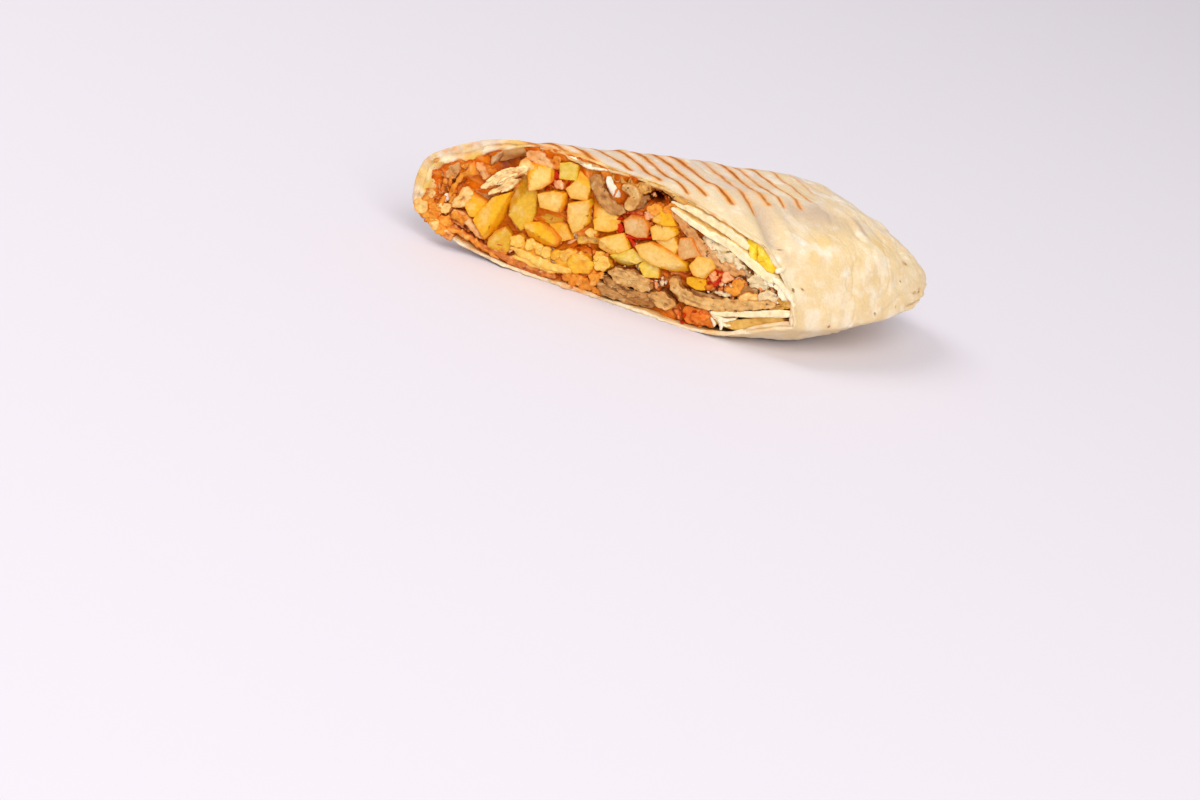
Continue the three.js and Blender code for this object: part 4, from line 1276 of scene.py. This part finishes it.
        ("doner_dark", 0, 8, [(24.4, 21), (22, 23.5), (18.5, 22.5), (18, 20.8), (22, 18.8), (24.4, 19.4)]),
        ("chicken", 0.8, 7, [(23.4, 18.2), (21, 20.1), (17.5, 20.8), (15.8, 19.2), (20, 16.9)]),
        ("spiced", 0.8, 8, [(65, 39.6), (63.4, 41.2), (60.8, 41.8), (59, 40.4), (60.5, 38.8), (63.5, 38.4)]),
        ("spiced", 0.6, 8, [(58.6, 42), (56, 42.6), (55.2, 40.8), (57.5, 39.6)]),
        ("curd_pink", 1, 7, [(65.6, 37.2), (64, 38.1), (62.6, 36.5), (64.2, 35)]),
        ("core", -2.6, 6, [(86, 14.7), (84, 16.4), (80, 17), (79.5, 14.5), (83, 12.6)]),
    ]),
    ("curd_side_cut", "curd", ["curd_side"], [
        ("curd", 0.2, 10, [(42, 35.8), (36, 35), (32, 33.6), (35, 32), (39.5, 32), (41.5, 33.8)]),
        ("curd", 0.6, 10, [(38.2, 31.5), (34, 32.8), (30, 32.8), (30.5, 29.6), (35, 29), (37.5, 30)]),
        ("curd", 0.4, 10, [(31.3, 30), (29, 32), (25.5, 30.4), (24.5, 29), (28, 28.4)]),
        ("curd_grey", 0, 9, [(28.2, 29.2), (25, 29.3), (22.2, 27.6), (25, 26.8)]),
    ]),
    ("curd_corner_cut", "curd", ["curd_corner"], [
        ("curd", 0.6, 9, [(22.7, 26.2), (20.5, 28), (16, 26.8), (14, 25), (16.6, 23), (20.5, 24.2)]),
        ("curd", 0.8, 8, [(15.8, 20.8), (14, 23.2), (10.5, 23), (10, 21), (13, 19.2)]),
        ("curd", 1, 6, [(32.2, 16.9), (29.5, 18.1), (26.7, 17.8), (29, 16.3)]),
        ("doner_gold", 0.6, 8, [(11.3, 17.6), (7.5, 20.8), (5.4, 21.6), (5.2, 20.4), (8, 18.4)]),
        ("doner_gold", 0.4, 8, [(9.4, 21.8), (7.5, 23.4), (4.8, 22.2), (7, 20.5)]),
    ]),
    ("yellow_piece", "yellow", ["cheese_corner"], [
        ("yellow", 1.3, 6, [(22.4, 38.6), (20, 38.4), (18, 35.8), (19.6, 34.2), (21.8, 35.4)]),
        ("yellow", 0.5, 9, [(26.6, 40.6), (24.6, 41), (22, 40), (18.6, 37), (14.9, 33.6), (14.8, 32),
            (17.4, 32), (20.5, 33), (24.3, 35), (26, 37)]),
    ]),
    ("thin_meat_strip", "doner", [], [
        ("doner_dark", 0.6, 9, [(40.5, 14.8, 1.2), (36.5, 14.2, 1.6), (32.5, 15.2, 1.6), (29, 15.4, 1)]),
    ]),
    ("white_sauce_curl", "white", [], [
        ("white_sauce", -0.3, 7, [(82, 45), (80.9, 45.6), (79.8, 43.8), (77.8, 42.4), (76, 40.8), (75.2, 39),
            (76.4, 38.6), (79, 39.8), (81.2, 42)]),
        ("white_sauce", 0.2, 5, [(136.5, 17.7), (135.6, 20), (134.6, 19.2), (135.4, 16.4)]),
    ]),
    ("pepper_sauce_pools", "red", [], [
        ("red", -0.2, 6, [(37, 19.6), (36, 22.5), (33, 26), (30, 25.4), (30.5, 21), (33, 18.8)]),
        ("red", 0.4, 6, [(70, 26.4, 1.4), (65, 27, 1.6), (61, 28.6, 1.6), (58.6, 29.4, 1.2)]),
        ("red", 0.4, 5, [(73, 28.3), (72, 30.4), (70.6, 28.4), (71.6, 27)]),
        ("red", -0.2, 6, [(102.6, 39.5), (101, 41.4), (99.3, 39.5), (100.4, 35.7), (101.8, 37)]),
        ("red", 0.2, 6, [(68.5, 26.4, 1.2), (66, 24.5, 1.6), (64.6, 22.8, 1.2)]),
        ("red", -0.2, 6, [(94.6, 40, 1), (94.6, 36, 1.2), (93, 33, 1)]),
        ("red", -0.2, 6, [(72.5, 34, 1.2), (66, 36, 1.4), (62.5, 36, 1.2)]),
    ]),
]
for number, (name, family, nodes, bits) in enumerate(PIECES):
    seed = 200 + 31 * number
    parts = []
    for k, (kind, proud, depth, shape, *inside) in enumerate(bits):
        yaw, pitch = 20 + 12 * math.sin(seed + 2.3 * k), 4 * math.sin(seed + k)
        parts.append(chunk(kind, shape, proud, depth, yaw, pitch, seed + 11 * k, SPACING, *inside))
    add_piece(name, parts, family, *nodes)

# Crumbs in the gaps: name, family, kinds, then regions as (s, z, half width, half height, count)
CRUMBS = [
    ("crumbs_spiced", "spiced", ["spiced", "spiced", "chicken_pink", "doner_red"], [
        (137, 24, 8, 10, 190), (136, 12, 8, 5, 90), (122, 12, 10, 6, 70), (105, 5, 16, 4, 120),
        (80, 5, 10, 4, 90), (32, 22, 8, 6, 70), (98, 42, 16, 5, 60), (60, 40, 10, 5, 60),
        (90, 25, 30, 12, 140), (55, 25, 22, 10, 110),
    ]),
    ("crumbs_white", "curd", ["curd", "curd_pink", "curd_grey", "flour"], [
        (30, 30, 10, 4, 70), (18, 24, 10, 5, 110), (30, 20, 8, 5, 40), (58, 13, 10, 4, 50),
        (95, 10, 14, 4, 50), (8, 22, 6, 5, 60), (64, 30, 6, 8, 24), (84, 22, 6, 3, 16),
    ]),
    ("crumbs_sauce", "red", ["red", "red", "red_meat"], [
        (70, 34, 12, 4, 34), (34, 22, 5, 5, 36), (100, 36, 6, 6, 20), (66, 26, 6, 4, 26),
        (50, 25, 14, 6, 24), (36, 5, 8, 4, 40), (88, 33, 8, 8, 20),
    ]),
]
CRUMB_SIZE = (0.35, 1.3)
CRUMB_DEPTH = (0.2, 3.4)


def ball():
    """A round of 42 points and 80 triangles."""
    golden = (1 + 5**0.5) / 2
    points = []
    for a in (-1, 1):
        for b in (-golden, golden):
            points += [(a, b, 0), (0, a, b), (b, 0, a)]
    points = [Vector(p).normalized() for p in points]
    reach = min((points[0] - q).length for q in points[1:]) * 1.1
    near = [[(p - q).length < reach for q in points] for p in points]
    faces = [(i, j, k) for i in range(12) for j in range(i + 1, 12) for k in range(j + 1, 12)
             if near[i][j] and near[j][k] and near[i][k]]
    halves = {}

    def half(*pair):
        pair = tuple(sorted(pair))
        if pair not in halves:
            halves[pair] = len(points)
            points.append((points[pair[0]] + points[pair[1]]).normalized())
        return halves[pair]

    split = []
    for i, j, k in faces:
        a, b, c = half(i, j), half(j, k), half(k, i)
        split += [(i, a, c), (a, j, b), (c, b, k), (a, b, c)]
    p = np.array(points)
    quads = []
    for i, j, k in split:
        faces_out = np.dot(np.cross(p[j] - p[i], p[k] - p[i]), p[i]) > 0
        quads.append((i, j, k, k) if faces_out else (i, k, j, j))
    return p, np.array(quads)


BALL, BALL_FACES = ball()


def crumb_parts(kinds, regions, seed):
    """Uneven crumbs strewn over the regions."""
    rng = np.random.default_rng(seed)
    made = []
    for s0, z0, ds, dz, count in regions:
        for _ in range(count):
            turn, away = rng.uniform(0, 2 * math.pi), math.sqrt(rng.uniform())
            s, z = s0 + ds * away * math.cos(turn), z0 + dz * away * math.sin(turn)
            size = CRUMB_SIZE[0] + (CRUMB_SIZE[1] - CRUMB_SIZE[0]) * rng.uniform() ** 2
            stretch = size * np.array([rng.uniform(0.9, 2.2), rng.uniform(0.5, 1.0), rng.uniform(0.4, 0.9)])
            spin, _ = np.linalg.qr(rng.normal(size=(3, 3)))
            place = on_cut(s, z, rng.uniform(*CRUMB_DEPTH))
            lump = BALL * (1 + 0.42 * fbm(BALL * 1.3 + place, 0.9, 2, seed))[:, None]
            world = keep_inside((lump * stretch) @ spin + place, 1.0)
            face, rim, side, _ = KINDS[kinds[rng.integers(len(kinds))]]
            shade = mix(mix(face, rim, rng.uniform()), side, 0.5 + 0.6 * fbm(world, 1.2, 2, seed))
            made.append((world, BALL_FACES, {"tint": shade}))
    return made


for number, (name, family, kinds, regions) in enumerate(CRUMBS):
    add_piece(name, crumb_parts(kinds, regions, 50 + number), family)

# Layers of bread between the skin and the filling: name, kind, stand-out, depth, centre line with widths
LAYERS = [
    ("layer_inner", "layer_gold", -1.2, 16, [(56, 44, 2), (50, 42.4, 4.6), (41, 40.4, 5.4), (33, 38.4, 5.2),
        (25, 35.8, 4.6), (18, 32, 2)]),
    ("layer_top", "layer_gold", -0.4, 20, [(57, 46, 1.6), (50, 45, 2.8), (42, 43.4, 3), (34, 41.6, 2.6),
        (28, 40.8, 2)]),
    ("layer_back", "layer", 0, 26, [(57.5, 43.8, 1.4), (50, 43.6, 2.6), (42, 42, 3), (34, 39.8, 3.2),
        (28, 37.8, 3), (25.5, 36.6, 1.8)]),
    ("layer_flap", "layer", 1, 26, [(57, 42.2, 1.2), (49, 39.6, 2), (41, 37.4, 2.4), (33, 35.8, 3),
        (25, 32.8, 3.2), (17, 29.6, 3.6), (13, 28.4, 3.2)]),
    ("layer_corner", "layer", 1.2, 22, [(31.3, 9.3, 1), (27.7, 10.1, 1.9), (20.7, 12.4, 2.4),
        (13.7, 14.9, 2.8), (7.8, 17.2, 3), (3.6, 18.6, 2.6)]),
    ("layer_gap", "layer_gold", -0.7, 18, [(30, 6.6, 2), (22.7, 6.9, 3.8), (16, 9.4, 4.4), (10, 12.8, 3.6),
        (5, 15, 1.6)]),
]
for number, (name, kind, proud, depth, band) in enumerate(LAYERS):
    add_piece(name, [chunk(kind, band, proud, depth, 50, 0, 600 + 13 * number)], "layer")

# Floury shreds: stand-out, depth, yaw, seed, how far under the skin they stay, shape
SHREDS = [
    (0.8, 8, 30, 700, 1, [(16.6, 26.5), (13, 30.2), (9.5, 29.4), (6, 26), (7.5, 23.4), (12.3, 26)]),
    (1.5, 1.9, 10, 711, -0.8, [(14, 32, 1.6), (12.4, 33.2, 2), (10.8, 34.2, 1)]),
    (1.3, 3, 10, 722, -0.6, [(14.6, 29.6, 1.6), (11.4, 28.2, 2.2), (8, 26.2, 2.2), (5.4, 24, 1.8),
        (3.2, 21.6, 1.2)]),
    (0.6, 5, 10, 733, 1, [(31.8, 9.2, 0.6), (28.6, 8.4, 1.6), (25.4, 8.2, 1.5), (21.8, 10, 0.7)]),
    (0.3, 5, 10, 738, 1, [(30.6, 8.2, 0.6), (27.8, 7.2, 1.3), (25, 6.2, 1.2), (22.6, 6.6, 0.5)]),
    (0.9, 4, 10, 741, 1, [(27.4, 8, 0.9), (26, 5.8, 1), (25.6, 4.2, 0.4)]),
    (0.5, 4, 10, 742, 1, [(30.4, 7.4, 0.8), (28.6, 5.6, 0.9), (28.2, 4.4, 0.4)]),
    (1, 5, 10, 744, 0.2, [(98, 48.2, 1), (94, 47.4, 1.4), (88, 47, 1.4), (83, 48, 1)]),
]
shreds = [chunk("flour", shape, proud, depth, yaw, 0, seed, SPACING, inside)
          for proud, depth, yaw, seed, inside, shape in SHREDS]
add_piece("floury_shreds", shreds, "layer")

# Floor, flat and then swept up all round in the same colour; sizes in metres
FLAT_RADII = (0.0, 0.5, 1.5, 4.0)
SWEEP_RISE = 3.0
SWEEP = np.linspace(0.15, 1.5, 12)
FLOOR_TURNS = 96


def backdrop():
    circles = [(radius, 0.0) for radius in FLAT_RADII]
    for t in SWEEP:
        circles.append((FLAT_RADII[-1] + SWEEP_RISE * math.sin(t), SWEEP_RISE * (1 - math.cos(t))))
    points = []
    for radius, z in circles:
        for k in range(FLOOR_TURNS):
            a = 2 * math.pi * k / FLOOR_TURNS
            points.append(((radius + 1e-4) * math.cos(a), (radius + 1e-4) * math.sin(a), z))
    material, tree, shader = nodes_of("floor")
    feed(tree, shader.inputs["Base Color"], FLOOR)
    settle(shader, Roughness=0.85, Specular_IOR_Level=0.1)
    faces = grid_faces(len(circles), FLOOR_TURNS, True).tolist()
    floor = add_mesh("floor", points, faces, material)


backdrop()

# Camera at the photograph's angle
AZIMUTH = math.radians(-36)
ELEVATION = math.radians(21.2)
ROLL = math.radians(18.6)
LENS = 85.0
SENSOR = 36.0
IMAGE = (1200, 800)
PIXELS_PER_MM = 2.75
ANCHOR = np.array([0.0, 0.0, 13.0])
ANCHOR_PIXEL = (795, 330)


def add_camera():
    """Puts the camera in, turned by its right, up and back directions, and gives the back direction."""
    back = np.array([math.sin(AZIMUTH) * math.cos(ELEVATION), -math.cos(AZIMUTH) * math.cos(ELEVATION),
                     math.sin(ELEVATION)])
    level = np.cross(-back, UP)
    level /= np.linalg.norm(level)
    rise = np.cross(level, -back)
    right = level * math.cos(ROLL) + rise * math.sin(ROLL)
    up = rise * math.cos(ROLL) - level * math.sin(ROLL)
    distance = LENS / SENSOR * IMAGE[0] / PIXELS_PER_MM
    aim = ANCHOR + SHIFT + right * (IMAGE[0] / 2 - ANCHOR_PIXEL[0]) / PIXELS_PER_MM
    aim = aim - up * (IMAGE[1] / 2 - ANCHOR_PIXEL[1]) / PIXELS_PER_MM
    data = bpy.data.cameras.new("camera")
    data.lens = LENS
    data.sensor_width = SENSOR
    data.clip_end = 50
    camera = add_object(data)
    axes = Matrix((right, up, back)).transposed().to_4x4()
    camera.matrix_world = Matrix.Translation(Vector((aim + back * distance) * MM)) @ axes
    bpy.context.scene.camera = camera
    return back


back = add_camera()
level = np.cross(-back, UP)

# Softboxes: name, metres to the right, back and up from the hub, size, power, colour
HUB = Vector((0, 0, 0.03))
LIGHTS = [
    ("key", (-1.7, 0.2, 1.8), 1.1, 19, (1, 0.98, 0.95)),
    ("fill", (0.6, 2.4, 1.0), 2.2, 62, (1, 0.985, 0.96)),
]
for name, (aside, behind, above), size, power, color in LIGHTS:
    data = bpy.data.lights.new(name, "AREA")
    data.size = size
    data.energy = power
    data.color = color
    lamp = add_object(data)
    lamp.location = HUB + Vector(aside * level + behind * back + above * UP)
    lamp.rotation_euler = (HUB - lamp.location).to_track_quat("-Z", "Y").to_euler()

world = bpy.data.worlds.new("studio")
world.use_nodes = True
settle(world.node_tree.nodes["Background"], Color=(0.98, 0.97, 0.97, 1), Strength=0.55)
bpy.context.scene.world = world
bpy.context.scene.view_settings.view_transform = "Standard"
